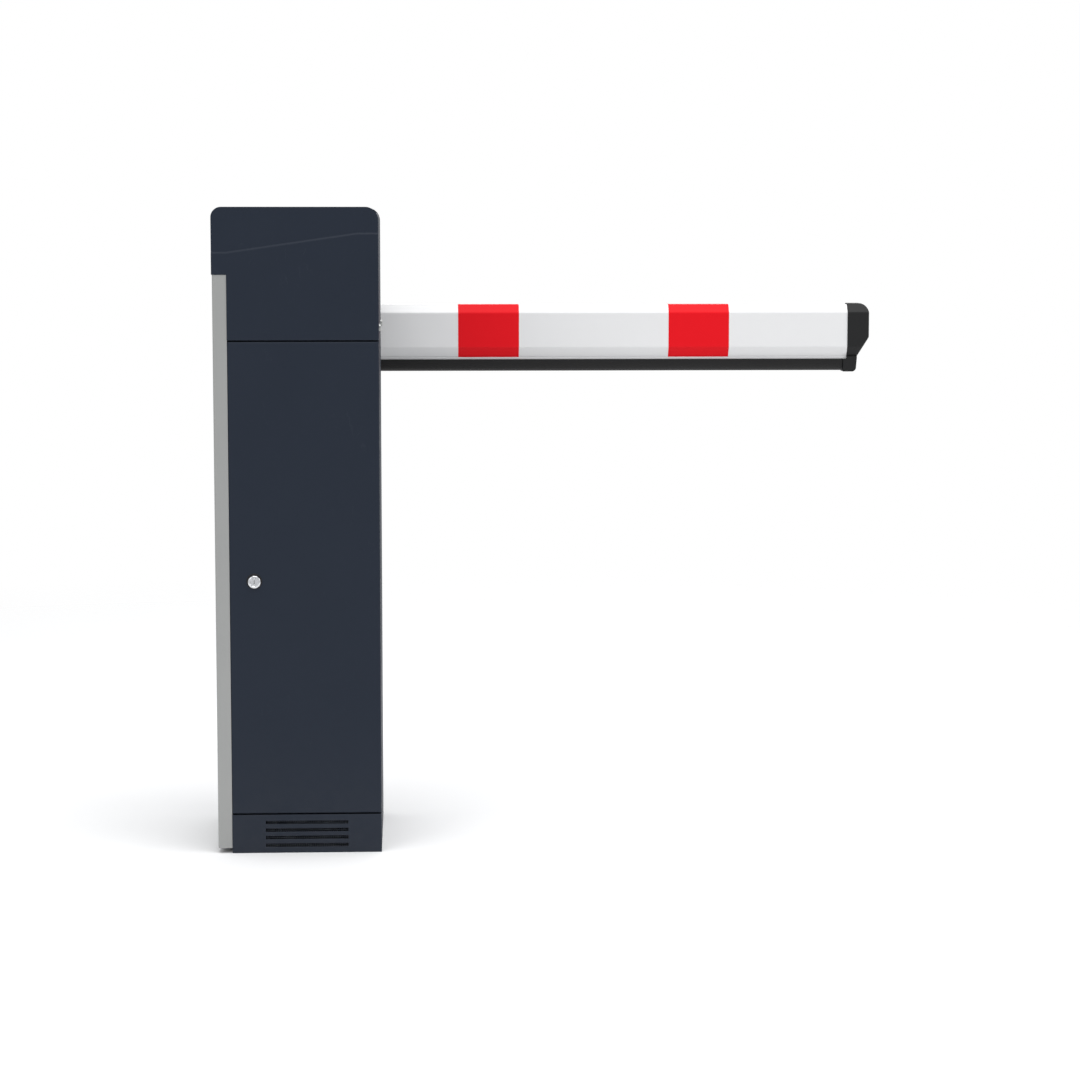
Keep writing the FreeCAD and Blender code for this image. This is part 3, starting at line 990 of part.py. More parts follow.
# ---------------------------------------------------------------- checks and files
doc.recompute()
for item in doc.Objects:
    if "Invalid" in item.State or "Error" in item.State:
        raise RuntimeError("%s did not build: %s" % (item.Label, item.State))
for label, piece in nodes.items():
    if piece.Shape.isNull() or not piece.Shape.isValid() or not piece.Shape.Solids:
        raise RuntimeError("%s has no valid solid" % label)
os.makedirs("parts", exist_ok=True)
for label, piece in nodes.items():
    piece.Shape.exportStep("parts/%s.step" % label)
print("wrote", len(nodes), "parts")
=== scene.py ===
import json
import math
import bmesh
import bpy
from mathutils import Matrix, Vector


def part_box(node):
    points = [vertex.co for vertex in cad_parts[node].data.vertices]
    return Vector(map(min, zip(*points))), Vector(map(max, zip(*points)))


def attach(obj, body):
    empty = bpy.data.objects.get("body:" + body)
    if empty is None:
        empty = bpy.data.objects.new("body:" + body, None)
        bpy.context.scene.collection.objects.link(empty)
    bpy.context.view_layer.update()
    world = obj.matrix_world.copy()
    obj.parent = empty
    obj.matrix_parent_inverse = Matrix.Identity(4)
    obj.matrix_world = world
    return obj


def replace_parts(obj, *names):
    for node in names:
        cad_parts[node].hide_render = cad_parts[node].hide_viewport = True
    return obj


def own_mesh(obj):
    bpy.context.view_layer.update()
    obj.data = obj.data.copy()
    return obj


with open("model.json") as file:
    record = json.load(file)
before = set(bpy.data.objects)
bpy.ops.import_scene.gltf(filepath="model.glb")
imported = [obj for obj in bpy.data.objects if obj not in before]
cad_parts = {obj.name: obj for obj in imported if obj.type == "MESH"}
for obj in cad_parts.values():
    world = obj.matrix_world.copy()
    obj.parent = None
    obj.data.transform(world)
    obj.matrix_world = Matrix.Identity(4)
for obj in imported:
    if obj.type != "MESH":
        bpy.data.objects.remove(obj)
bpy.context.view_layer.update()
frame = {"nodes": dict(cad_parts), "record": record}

# ---------------------------------------------------------------- studio and camera
# A round white paper floor that fades into white air, under soft overhead and side panels. The
# camera stands a few metres in front of the door, a little to the boom's side, just below the hood.
PAPER_RADIUS = 3.4
PAPER_FADE = 1.5
AIR_LIGHT = 0.7
EYE = Vector((0.1614, -4.6174, 0.9721))
LOOK_YAW = 2.583
LOOK_PITCH = -6.176
LENS = 96.97


def finished_mesh(name, bm):
    """New object from a bmesh, at the origin."""
    mesh = bpy.data.meshes.new(name)
    bm.to_mesh(mesh)
    bm.free()
    piece = bpy.data.objects.new(name, mesh)
    bpy.context.scene.collection.objects.link(piece)
    return piece


def maths(tree, operation, *terms, clamp=False):
    """Math node fed by sockets or numbers."""
    made = tree.nodes.new("ShaderNodeMath")
    made.operation = operation
    made.use_clamp = clamp
    for slot, term in zip(made.inputs, terms):
        if isinstance(term, (int, float)):
            slot.default_value = term
        else:
            tree.links.new(term, slot)
    return made.outputs[0]


def paper_surface():
    """White paper that grows clear towards its rim."""
    surface = bpy.data.materials.new("studio_paper")
    surface.use_nodes = True
    tree = surface.node_tree
    shader = tree.nodes["Principled BSDF"]
    shader.inputs["Base Color"].default_value = (0.94, 0.94, 0.94, 1)
    shader.inputs["Roughness"].default_value = 0.8
    shader.inputs["Specular IOR Level"].default_value = 0.1
    away = tree.nodes.new("ShaderNodeVectorMath")
    away.operation = "LENGTH"
    tree.links.new(tree.nodes.new("ShaderNodeTexCoord").outputs["Object"], away.inputs[0])
    fade = maths(tree, "DIVIDE", maths(tree, "SUBTRACT", away.outputs["Value"], PAPER_FADE),
                 PAPER_RADIUS - PAPER_FADE, clamp=True)
    blend = tree.nodes.new("ShaderNodeMixShader")
    tree.links.new(fade, blend.inputs[0])
    tree.links.new(shader.outputs[0], blend.inputs[1])
    tree.links.new(tree.nodes.new("ShaderNodeBsdfTransparent").outputs[0], blend.inputs[2])
    tree.links.new(blend.outputs[0], tree.nodes["Material Output"].inputs["Surface"])
    return surface


paper = bmesh.new()
bmesh.ops.create_circle(paper, cap_ends=True, radius=PAPER_RADIUS, segments=96)
floor = finished_mesh("studio_floor", paper)
floor.data.materials.append(paper_surface())


def soft_panel(name, place, aim, size, power):
    """Square soft light at a place, turned to a point."""
    lamp = bpy.data.lights.new(name, "AREA")
    lamp.shape = "SQUARE"
    lamp.size = size
    lamp.energy = power
    holder = bpy.data.objects.new(name, lamp)
    bpy.context.scene.collection.objects.link(holder)
    holder.location = place
    holder.rotation_euler = (Vector(aim) - Vector(place)).to_track_quat("-Z", "Y").to_euler()


# each panel's name, place, aim, size in metres and power in watts
soft_panel("overhead_panel", (0.4, -0.8, 4.2), (0.3, 0.1, 0.5), 3.0, 105)
soft_panel("front_left_panel", (-3.2, -4.0, 2.6), (0.2, 0, 0.6), 2.4, 30)
soft_panel("right_panel", (4.2, -1.8, 2.4), (0.4, 0, 0.8), 2.2, 24)
soft_panel("rear_panel", (1.2, 4.4, 2.8), (0.3, 0, 0.6), 2.4, 30)
world = bpy.data.worlds.new("studio_air")
world.use_nodes = True
air = world.node_tree
lighting = air.nodes["Background"]
lighting.inputs["Color"].default_value = (0.97, 0.98, 1.0, 1)
lighting.inputs["Strength"].default_value = AIR_LIGHT
white_air = air.nodes.new("ShaderNodeBackground")
white_air.inputs["Color"].default_value = (1, 1, 1, 1)
white_air.inputs["Strength"].default_value = 1.0
seen = air.nodes.new("ShaderNodeMixShader")
air.links.new(air.nodes.new("ShaderNodeLightPath").outputs["Is Camera Ray"], seen.inputs[0])
air.links.new(lighting.outputs[0], seen.inputs[1])
air.links.new(white_air.outputs[0], seen.inputs[2])
air.links.new(seen.outputs[0], air.nodes["World Output"].inputs["Surface"])
bpy.context.scene.world = world
bpy.context.scene.view_settings.view_transform = "Standard"

lens = bpy.data.cameras.new("viewer")
lens.lens = LENS
lens.sensor_width = 36
camera = bpy.data.objects.new("viewer", lens)
bpy.context.scene.collection.objects.link(camera)
camera.location = EYE
camera.rotation_euler = (math.radians(90 + LOOK_PITCH), 0, math.radians(-LOOK_YAW))
bpy.context.scene.camera = camera

# ---------------------------------------------------------------- base plate and cable grommet
# An 8 mm zinc plated steel plate that stands on the foundation; four anchor holes and a cable
# cut-out are flame cut, and a rubber grommet is pressed over the cut-out's edge.


def effect(name, inputs, outputs):
    """Empty shader node group with named float inputs and outputs."""
    group = bpy.data.node_groups.new(name, "ShaderNodeTree")
    for label, start in inputs:
        group.interface.new_socket(label, in_out="INPUT", socket_type="NodeSocketFloat").default_value = start
    for label in outputs:
        group.interface.new_socket(label, in_out="OUTPUT", socket_type="NodeSocketFloat")
    return group, group.nodes.new("NodeGroupInput"), group.nodes.new("NodeGroupOutput")


def noise(tree, place, scale, detail=3.0, roughness=0.6):
    """Noise pattern; the scale is a socket or a number."""
    pattern = tree.nodes.new("ShaderNodeTexNoise")
    tree.links.new(place, pattern.inputs["Vector"])
    pattern.inputs["Detail"].default_value = detail
    pattern.inputs["Roughness"].default_value = roughness
    if isinstance(scale, (int, float)):
        pattern.inputs["Scale"].default_value = scale
    else:
        tree.links.new(scale, pattern.inputs["Scale"])
    return pattern.outputs["Fac"]


def grain_effect():
    """Fine surface grain (Height), blotches (Blotch) and short fine scratches (Scratch)."""
    tree, given, result = effect("surface_grain", [("Scale", 900.0), ("Blotch Scale", 6.0),
                                                   ("Along X", 1.0), ("Along Y", 1.0), ("Along Z", 1.0)],
                                 ["Height", "Blotch", "Scratch"])
    place = tree.nodes.new("ShaderNodeTexCoord").outputs["Object"]
    stretch = tree.nodes.new("ShaderNodeCombineXYZ")
    for axis in "XYZ":
        tree.links.new(given.outputs["Along " + axis], stretch.inputs[axis])
    scaled = tree.nodes.new("ShaderNodeVectorMath")
    scaled.operation = "MULTIPLY"
    tree.links.new(place, scaled.inputs[0])
    tree.links.new(stretch.outputs[0], scaled.inputs[1])
    fine = noise(tree, scaled.outputs[0], given.outputs["Scale"], 2.0, 0.55)
    coarse = noise(tree, scaled.outputs[0], maths(tree, "MULTIPLY", given.outputs["Scale"], 0.27), 2.0, 0.5)
    mixture = maths(tree, "ADD", maths(tree, "MULTIPLY", fine, 0.6), maths(tree, "MULTIPLY", coarse, 0.4))
    tree.links.new(mixture, result.inputs["Height"])
    tree.links.new(noise(tree, place, given.outputs["Blotch Scale"], 5.0, 0.62), result.inputs["Blotch"])
    hairs = tree.nodes.new("ShaderNodeTexVoronoi")
    hairs.feature = "DISTANCE_TO_EDGE"
    hairs.inputs["Scale"].default_value = 26.0
    warped = tree.nodes.new("ShaderNodeVectorMath")
    warped.operation = "MULTIPLY_ADD"
    warped.inputs[1].default_value = (1.0, 1.0, 0.16)
    tree.links.new(place, warped.inputs[0])
    tree.links.new(maths(tree, "MULTIPLY", noise(tree, place, 40.0), 0.05), warped.inputs[2])
    tree.links.new(warped.outputs[0], hairs.inputs["Vector"])
    thin = maths(tree, "SUBTRACT", 1.0, maths(tree, "DIVIDE", hairs.outputs["Distance"], 0.012), clamp=True)
    rare = maths(tree, "GREATER_THAN", noise(tree, place, 17.0), 0.62)
    tree.links.new(maths(tree, "MULTIPLY", thin, rare), result.inputs["Scratch"])
    return tree


def wear_effect():
    """Mask of rubbed edges, from how far a rounded normal turns from the flat one."""
    tree, given, result = effect("edge_wear", [("Amount", 0.5)], ["Mask"])
    geometry = tree.nodes.new("ShaderNodeNewGeometry")
    rounded = tree.nodes.new("ShaderNodeBevel")
    rounded.samples = 4
    rounded.inputs["Radius"].default_value = 0.0014
    dot = tree.nodes.new("ShaderNodeVectorMath")
    dot.operation = "DOT_PRODUCT"
    tree.links.new(geometry.outputs["Normal"], dot.inputs[0])
    tree.links.new(rounded.outputs[0], dot.inputs[1])
    turned = maths(tree, "SUBTRACT", 1.0, dot.outputs["Value"], clamp=True)
    patchy = noise(tree, tree.nodes.new("ShaderNodeTexCoord").outputs["Object"], 55.0, 4.0, 0.65)
    strong = maths(tree, "MULTIPLY", maths(tree, "MULTIPLY", turned, 4.0),
                   maths(tree, "MULTIPLY", maths(tree, "SUBTRACT", patchy, 0.32, clamp=True), 3.0))
    mask = maths(tree, "MULTIPLY", strong, given.outputs["Amount"], clamp=True)
    tree.links.new(mask, result.inputs["Mask"])
    return tree


def dust_effect():
    """Mask of settled dust: on faces that look up, and thicker near the floor."""
    tree, given, result = effect("settled_dust", [("Amount", 0.3), ("Splash Height", 0.25)], ["Mask"])
    geometry = tree.nodes.new("ShaderNodeNewGeometry")
    place = tree.nodes.new("ShaderNodeTexCoord").outputs["Object"]
    parts = tree.nodes.new("ShaderNodeSeparateXYZ")
    tree.links.new(geometry.outputs["Normal"], parts.inputs[0])
    levels = tree.nodes.new("ShaderNodeSeparateXYZ")
    tree.links.new(place, levels.inputs[0])
    upward = maths(tree, "MULTIPLY", maths(tree, "SUBTRACT", parts.outputs["Z"], 0.5, clamp=True), 1.1)
    low = maths(tree, "SUBTRACT", 1.0, maths(tree, "DIVIDE", levels.outputs["Z"],
                                             given.outputs["Splash Height"]), clamp=True)
    low = maths(tree, "MULTIPLY", maths(tree, "POWER", low, 2.0), 0.8)
    speckle = noise(tree, place, 38.0, 6.0, 0.7)
    either = maths(tree, "MULTIPLY", maths(tree, "ADD", upward, low), maths(tree, "MULTIPLY", speckle, 1.6))
    mask = maths(tree, "MULTIPLY", either, given.outputs["Amount"], clamp=True)
    tree.links.new(mask, result.inputs["Mask"])
    return tree


GRAIN = grain_effect()
WEAR = wear_effect()
DUST = dust_effect()
FINISHES = {}
DUST_COLOUR = (0.36, 0.33, 0.29)


def placed(tree, group, **values):
    """Put a shared effect into a material with its own values."""
    used = tree.nodes.new("ShaderNodeGroup")
    used.node_tree = group
    for label, amount in values.items():
        used.inputs[label.replace("_", " ").title()].default_value = amount
    return used.outputs


def mixed(tree, share, first, second):
    """Blend two colours, each a tuple or a socket."""
    blend = tree.nodes.new("ShaderNodeMix")
    blend.data_type = "RGBA"
    tree.links.new(share, blend.inputs["Factor"])
    for slot, colour in ((blend.inputs["A"], first), (blend.inputs["B"], second)):
        if isinstance(colour, tuple):
            slot.default_value = (*colour, 1)
        else:
            tree.links.new(colour, slot)
    return blend.outputs["Result"]


def finish(slot, colour, shade, roughness, metallic=0.0, grain=900.0, depth=0.00004, along=(1, 1, 1),
           worn=None, wear=0.0, scratch=0.0, dust=0.15, splash=0.25, coat=0.0, level=0.5, pattern=None):
    """Material of a surface: two tones in blotches, grain, rubbed edges, hairlines and dust; it is kept
    under the name of the model's finish that it stands for."""
    surface = bpy.data.materials.new(slot)
    surface.use_nodes = True
    tree = surface.node_tree
    shader = tree.nodes["Principled BSDF"]
    shader.inputs["Metallic"].default_value = metallic
    shader.inputs["Coat Weight"].default_value = coat
    shader.inputs["Coat Roughness"].default_value = 0.12
    shader.inputs["Specular IOR Level"].default_value = level
    skin = placed(tree, GRAIN, scale=grain, blotch_scale=7.0, along_x=along[0], along_y=along[1],
                  along_z=along[2])
    tone = mixed(tree, skin["Blotch"], colour, shade)
    rough = maths(tree, "ADD", roughness - 0.09, maths(tree, "MULTIPLY", skin["Blotch"], 0.18))
    relief = maths(tree, "SUBTRACT", skin["Height"], 0.5)
    rough = maths(tree, "ADD", rough, maths(tree, "MULTIPLY", relief, 0.12))
    height = skin["Height"]
    if pattern:
        lines = pattern(tree)
        tone = mixed(tree, maths(tree, "MULTIPLY", lines, 0.22), tone, worn)
        height = maths(tree, "ADD", height, lines)
    if wear:
        rubbed = placed(tree, WEAR, amount=wear)["Mask"]
        tone = mixed(tree, rubbed, tone, worn)
    if scratch:
        marks = maths(tree, "MULTIPLY", skin["Scratch"], scratch)
        tone = mixed(tree, marks, tone, worn)
        rough = maths(tree, "ADD", rough, maths(tree, "MULTIPLY", marks, 0.15))
    if dust:
        settled = placed(tree, DUST, amount=dust, splash_height=splash)["Mask"]
        tone = mixed(tree, settled, tone, DUST_COLOUR)
        rough = maths(tree, "ADD", rough, maths(tree, "MULTIPLY", settled, 0.3), clamp=True)
    tree.links.new(tone, shader.inputs["Base Color"])
    tree.links.new(rough, shader.inputs["Roughness"])
    bump = tree.nodes.new("ShaderNodeBump")
    bump.inputs["Strength"].default_value = 1.0
    bump.inputs["Distance"].default_value = depth
    tree.links.new(height, bump.inputs["Height"])
    tree.links.new(bump.outputs[0], shader.inputs["Normal"])
    FINISHES[slot] = surface


finish("zinc_steel", colour=(0.52, 0.53, 0.5), shade=(0.4, 0.41, 0.41), roughness=0.36, metallic=1.0,
       grain=420.0, depth=0.00002, worn=(0.75, 0.75, 0.74), wear=0.5, scratch=0.3)
finish("black_rubber", colour=(0.0075, 0.0075, 0.0078), shade=(0.0125, 0.012, 0.012), roughness=0.55,
       metallic=0.0, grain=1500.0, depth=0.00003, worn=(0.04, 0.04, 0.04), wear=0.3, dust=0.05,
       level=0.25)
SLOT_OF = {part["node"]: part["material_slot"] for part in frame["record"]["subparts"]}
MERGE_WITHIN = 0.000002
FLAT_WITHIN = math.radians(0.6)


def clean_copy(node):
    """Bmesh copy of a CAD node with its doubles merged and its flat triangles joined."""
    bm = bmesh.new()
    bm.from_mesh(frame["nodes"][node].data)
    bmesh.ops.remove_doubles(bm, verts=bm.verts, dist=MERGE_WITHIN)
    bmesh.ops.dissolve_limit(bm, angle_limit=FLAT_WITHIN, verts=bm.verts, edges=bm.edges)
    return bm


def smooth_by_angle(piece, angle):
    """Smooth shading, sharp where two faces meet at more than an angle."""
    for face in piece.data.polygons:
        face.use_smooth = True
    piece.data.set_sharp_from_angle(angle=math.radians(angle))


def dressed(piece, slot, body, width=0.0, turn=32, steps=2):
    """Break a piece's sharp edges, give it a finish and let it ride on a body."""
    smooth_by_angle(piece, turn)
    if width:
        bevel = piece.modifiers.new("broken edges", "BEVEL")
        bevel.width = width
        bevel.segments = steps
        bevel.limit_method = "ANGLE"
        bevel.angle_limit = math.radians(turn)
        bevel.use_clamp_overlap = False
        bevel.harden_normals = True
        flats = piece.modifiers.new("flat faces", "WEIGHTED_NORMAL")
        flats.keep_sharp = True
    if not piece.data.materials:
        piece.data.materials.append(FINISHES[slot])
    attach(piece, body)
    return piece


def own_body(node):
    """Name of the CAD body that a node belongs to."""
    return next(body for body, members in frame["record"]["behaviour"]["bodies"].items() if node in members)


def eased(node, width, turn=32, steps=2, reshape=None):
    """A node's shape with its sharp edges broken, in its own finish; it stands for the node."""
    bm = clean_copy(node)
    if reshape:
        reshape(bm)
    piece = finished_mesh(node + "_shape", bm)
    piece.data.materials.clear()
    dressed(piece, SLOT_OF[node], own_body(node), width, turn, steps)
    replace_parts(piece, node)


def coated(node):
    """Give a CAD node, left as it is, its finish."""
    slots = frame["nodes"][node].data.materials
    slots.clear()
    slots.append(FINISHES[SLOT_OF[node]])


def block(bm, low, high):
    """Add a box between two corners to a bmesh."""
    size = Vector(high) - Vector(low)
    made = bmesh.ops.create_cube(bm, size=1.0)["verts"]
    bmesh.ops.scale(bm, vec=size, verts=made)
    bmesh.ops.translate(bm, vec=(Vector(high) + Vector(low)) / 2, verts=made)


def blocks(name, slot, body, width, *corners):
    """Piece made of boxes, each given by two corners, with broken edges."""
    bm = bmesh.new()
    for low, high in corners:
        block(bm, low, high)
    return dressed(finished_mesh(name, bm), slot, body, width)


eased("base_plate", 0.0006)
eased("cable_grommet", 0.0009)

# ---------------------------------------------------------------- cabinet shell and plinth grille
# Two millimetre steel sheet, bent and welded, with a dark blue-grey powder coat of fine texture.
# The plinth has four long air slots with an insect screen of painted wire behind them.
SCREEN = {"Wide": 0.134, "Tall": 0.046, "Pitch": 0.0028, "Wire Radius": 0.0003}
SCREEN_Z = 0.031
SCREEN_BEHIND = 0.0007


def face(node, side):
    """Level of a node's outermost face on a side, such as "-y"."""
    low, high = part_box(node)
    return (low if side[0] == "-" else high)["xyz".index(side[1])]


def middle(node, axis):
    """Level of the middle of a node's box along an axis."""
    return (face(node, "-" + axis) + face(node, "+" + axis)) / 2


def shape_tree(name, sizes):
    """Empty geometry tree with named sizes and a finish."""
    tree = bpy.data.node_groups.new(name, "GeometryNodeTree")
    tree.interface.new_socket("Geometry", in_out="INPUT", socket_type="NodeSocketGeometry")
    for label, start in sizes:
        kind = "NodeSocketInt" if isinstance(start, int) else "NodeSocketFloat"
        tree.interface.new_socket(label, in_out="INPUT", socket_type=kind).default_value = start
    tree.interface.new_socket("Finish", in_out="INPUT", socket_type="NodeSocketMaterial")
    tree.interface.new_socket("Geometry", in_out="OUTPUT", socket_type="NodeSocketGeometry")
    return tree, tree.nodes.new("NodeGroupInput").outputs


def step(tree, kind, settings=(), **inputs):
    """Add a node with its settings, and link or set its inputs by name."""
    made = tree.nodes.new(kind)
    for label, choice in dict(settings).items():
        setattr(made, label, choice)
    for label, source in inputs.items():
        slot = next(s for s in made.inputs if s.name == label.replace("_", " ") and s.enabled)
        if isinstance(source, bpy.types.NodeSocket):
            tree.links.new(source, slot)
        else:
            slot.default_value = source
    return made.outputs


def close_tree(tree, given, shape):
    """End a tree: real geometry with its finish."""
    real = step(tree, "GeometryNodeRealizeInstances", Geometry=shape)
    coat = step(tree, "GeometryNodeSetMaterial", Geometry=real[0], Material=given["Finish"])
    tree.links.new(coat[0], tree.nodes.new("NodeGroupOutput").inputs[0])
    return tree


def grown(name, tree, slot, body, sizes=(), seed=None, turn=32, **look):
    """Mesh that a tree makes, as a plain piece on a body."""
    mesh = seed or bpy.data.meshes.new(name)
    holder = bpy.data.objects.new(name, mesh)
    bpy.context.scene.collection.objects.link(holder)
    maker = holder.modifiers.new(name, "NODES")
    maker.node_group = tree
    sizes = dict(sizes, Finish=FINISHES[slot])
    for item in tree.interface.items_tree:
        if item.in_out == "INPUT" and item.name in sizes:
            maker[item.identifier] = sizes[item.name]
    bpy.context.view_layer.update()
    shaped = holder.evaluated_get(bpy.context.evaluated_depsgraph_get())
    plain = bpy.data.meshes.new_from_object(shaped)
    holder.modifiers.clear()
    holder.data = plain
    return dressed(holder, slot, body, turn=turn, **look)


def screen_tree():
    """Flat net of round wires in the XZ plane round the origin."""
    tree, given = shape_tree("wire_screen", [("Wide", 0.1), ("Tall", 0.05), ("Pitch", 0.003),
                                             ("Wire Radius", 0.0003)])
    nets = []
    for long_side, short_side, along, turned in (("Wide", "Tall", (0, 0, 1), (0, math.pi / 2, 0)),
                                                 ("Tall", "Wide", (1, 0, 0), (0, 0, 0))):
        count = maths(tree, "FLOOR", maths(tree, "DIVIDE", given[short_side], given["Pitch"]))
        half = maths(tree, "MULTIPLY", maths(tree, "SUBTRACT", count, 1.0),
                     maths(tree, "MULTIPLY", given["Pitch"], -0.5))
        start = step(tree, "ShaderNodeVectorMath", {"operation": "SCALE"}, Vector=along, Scale=half)[0]
        pace = step(tree, "ShaderNodeVectorMath", {"operation": "SCALE"}, Vector=along,
                    Scale=given["Pitch"])[0]
        row = step(tree, "GeometryNodeMeshLine", {"mode": "OFFSET"}, Count=count, Start_Location=start,
                   Offset=pace)[0]
        wire = step(tree, "GeometryNodeMeshCylinder", Vertices=6, Radius=given["Wire Radius"],
                    Depth=given[long_side])[0]
        nets.append(step(tree, "GeometryNodeInstanceOnPoints", Points=row, Instance=wire,
                         Rotation=turned)[0])
    both = tree.nodes.new("GeometryNodeJoinGeometry")
    for net in nets:
        tree.links.new(net, both.inputs[0])
    return close_tree(tree, given, both.outputs[0])


def shifted(piece, place):
    """Move a piece's mesh; its object stays at the origin."""
    for corner in piece.data.vertices:
        corner.co += Vector(place)
    return piece


finish("body_paint", colour=(0.0108, 0.0165, 0.0285), shade=(0.0136, 0.0198, 0.033), roughness=0.5,
       metallic=0.0, grain=1500.0, depth=0.00005, worn=(0.1, 0.11, 0.13), wear=0.3, scratch=0.05,
       dust=0.035, level=0.2)
eased("cabinet_shell", 0.0004)
eased("plinth_grille", 0.0004)
shifted(grown("insect_screen", screen_tree(), "body_paint", "cabinet", SCREEN),
        (0, face("plinth_grille", "+y") + SCREEN_BEHIND, SCREEN_Z))

# ---------------------------------------------------------------- bearing frame
# Two bent steel plates hold the shafts, and tie bars keep them apart. Zinc plated hexagon bolts and
# nuts on washers hold the tie bars and the flanges; socket screws hold the hood to its brackets.
HEAD = "Head Radius"
TALL = "Head Height"


def fastener_tree():
    """Screws at the seed's points, each standing along the point's facing: a washer, a chamfered head
    with six or more sides, a hexagonal socket sunk in it, and a threaded end standing out of it."""
    tree, given = shape_tree("fasteners", [("Sides", 6), (HEAD, 0.008), (TALL, 0.005), ("Chamfer", 0.0006),
                                           ("Socket Radius", 0.004), ("Socket Depth", 0.0004),
                                           ("Washer Radius", 0.009), ("Washer Height", 0.001),
                                           ("End Radius", 0.001), ("End Height", 0.0002)])
    body_height = maths(tree, "SUBTRACT", given[TALL], given["Chamfer"])
    head = step(tree, "GeometryNodeMeshCylinder", Vertices=given["Sides"], Radius=given[HEAD],
                Depth=body_height)
    face = step(tree, "GeometryNodeExtrudeMesh", Mesh=head[0], Selection=head["Top"],
                Offset_Scale=given["Chamfer"], Individual=False)
    share = maths(tree, "SUBTRACT", 1.0, maths(tree, "DIVIDE", given["Chamfer"], given[HEAD]))
    shape = step(tree, "GeometryNodeScaleElements", Geometry=face["Mesh"], Selection=face["Top"],
                 Scale=share)[0]
    rim = step(tree, "GeometryNodeExtrudeMesh", Mesh=shape, Selection=face["Top"], Offset_Scale=0.0,
               Individual=False)
    share = maths(tree, "DIVIDE", given["Socket Radius"],
                  maths(tree, "SUBTRACT", given[HEAD], given["Chamfer"]))
    shape = step(tree, "GeometryNodeScaleElements", Geometry=rim["Mesh"], Selection=rim["Top"],
                 Scale=share)[0]
    here = step(tree, "ShaderNodeSeparateXYZ", Vector=step(tree, "GeometryNodeInputPosition")[0])
    around = maths(tree, "ARCTAN2", here[1], here[0])
    sector = maths(tree, "WRAP", around, math.pi / 6, -math.pi / 6)
    flat = maths(tree, "MULTIPLY", given["Socket Radius"], math.cos(math.pi / 6))
    reach = maths(tree, "DIVIDE", flat, maths(tree, "COSINE", sector))
    hexed = step(tree, "ShaderNodeCombineXYZ", Z=here[2],
                 X=maths(tree, "MULTIPLY", reach, maths(tree, "COSINE", around)),
                 Y=maths(tree, "MULTIPLY", reach, maths(tree, "SINE", around)))[0]
    shape = step(tree, "GeometryNodeSetPosition", Geometry=shape, Selection=rim["Top"], Position=hexed)[0]
    sunk = step(tree, "GeometryNodeExtrudeMesh", Mesh=shape, Selection=rim["Top"],
                Offset_Scale=maths(tree, "MULTIPLY", given["Socket Depth"], -1.0), Individual=False)
    washer = step(tree, "GeometryNodeMeshCylinder", Vertices=20, Radius=given["Washer Radius"],
                  Depth=given["Washer Height"])[0]
    end = step(tree, "GeometryNodeMeshCylinder", Vertices=12, Radius=given["End Radius"],
               Depth=given["End Height"])[0]
    whole = tree.nodes.new("GeometryNodeJoinGeometry")
    head_level = maths(tree, "ADD", given["Washer Height"], maths(tree, "MULTIPLY", body_height, 0.5))
    end_level = maths(tree, "ADD", maths(tree, "ADD", given["Washer Height"], given[TALL]),
                      maths(tree, "MULTIPLY", given["End Height"], 0.5))
    for part, level in ((washer, maths(tree, "MULTIPLY", given["Washer Height"], 0.5)),
                        (sunk["Mesh"], head_level), (end, end_level)):
        lift = step(tree, "ShaderNodeCombineXYZ", Z=level)[0]
        lifted = step(tree, "GeometryNodeTransform", Geometry=part, Translation=lift)[0]
        tree.links.new(lifted, whole.inputs[0])
    facing = step(tree, "GeometryNodeInputNamedAttribute", {"data_type": "FLOAT_VECTOR"}, Name="facing")[0]
    turned = step(tree, "FunctionNodeAlignRotationToVector", {"axis": "Z"}, Vector=facing)[0]
    rows = step(tree, "GeometryNodeInstanceOnPoints", Points=given["Geometry"], Instance=whole.outputs[0],
                Rotation=turned)[0]
    return close_tree(tree, given, rows)


FASTENERS = fastener_tree()


def fastened(name, body, facing, places, slot="zinc_steel", **sizes):
    """Screws, bolts or nuts at places, all facing one way."""
    seed = bpy.data.meshes.new(name)
    seed.from_pydata([tuple(place) for place in places], [], [])
    ways = seed.attributes.new("facing", "FLOAT_VECTOR", "POINT")
    ways.data.foreach_set("vector", list(facing) * len(places))
    named = {label.replace("_", " ").title(): size for label, size in sizes.items()}
    return grown(name, FASTENERS, slot, body, named, seed)


SCREW = dict(sides=24, head_radius=0.003, head_height=0.0022, chamfer=0.0004, socket_radius=0.0014,
             socket_depth=0.0012, washer_radius=0.0033, washer_height=0.0003)
NUT = dict(head_radius=0.008, head_height=0.0048, socket_radius=0.0052, end_radius=0.0039,
           end_height=0.002)
HEX_BOLT = dict(head_radius=0.008, head_height=0.0039, washer_radius=0.0092, washer_height=0.001,
                socket_radius=0.0058)
NO_WASHER = dict(washer_radius=0.0001, washer_height=0.0001)
finish("plain_steel", colour=(0.55, 0.55, 0.56), shade=(0.44, 0.44, 0.46), roughness=0.26, metallic=1.0,
       grain=300.0, depth=0.00001, along=(1, 8, 1), worn=(0.8, 0.8, 0.8), wear=0.3)
TIES = [(x, z) for x in (-0.096, 0.096) for z in (0.766, 0.46)]
FLANGE_BOLTS = [(y, z) for y in (0.02, 0.092) for z in (0.73, 0.5)]
FLANGE_INSIDE = 0.111
BRACKET_SCREWS = [(y, 0.815) for y in (-0.1, 0.126)]
for node, width in (("front_bearing_plate", 0.0005), ("rear_bearing_plate", 0.0005), ("tie_bars", 0.0005),
                    ("hood_brackets", 0.0004), ("stop_studs", 0.0006)):
    eased(node, width)
tie_front, tie_rear = face("front_bearing_plate", "-y"), face("rear_bearing_plate", "+y")
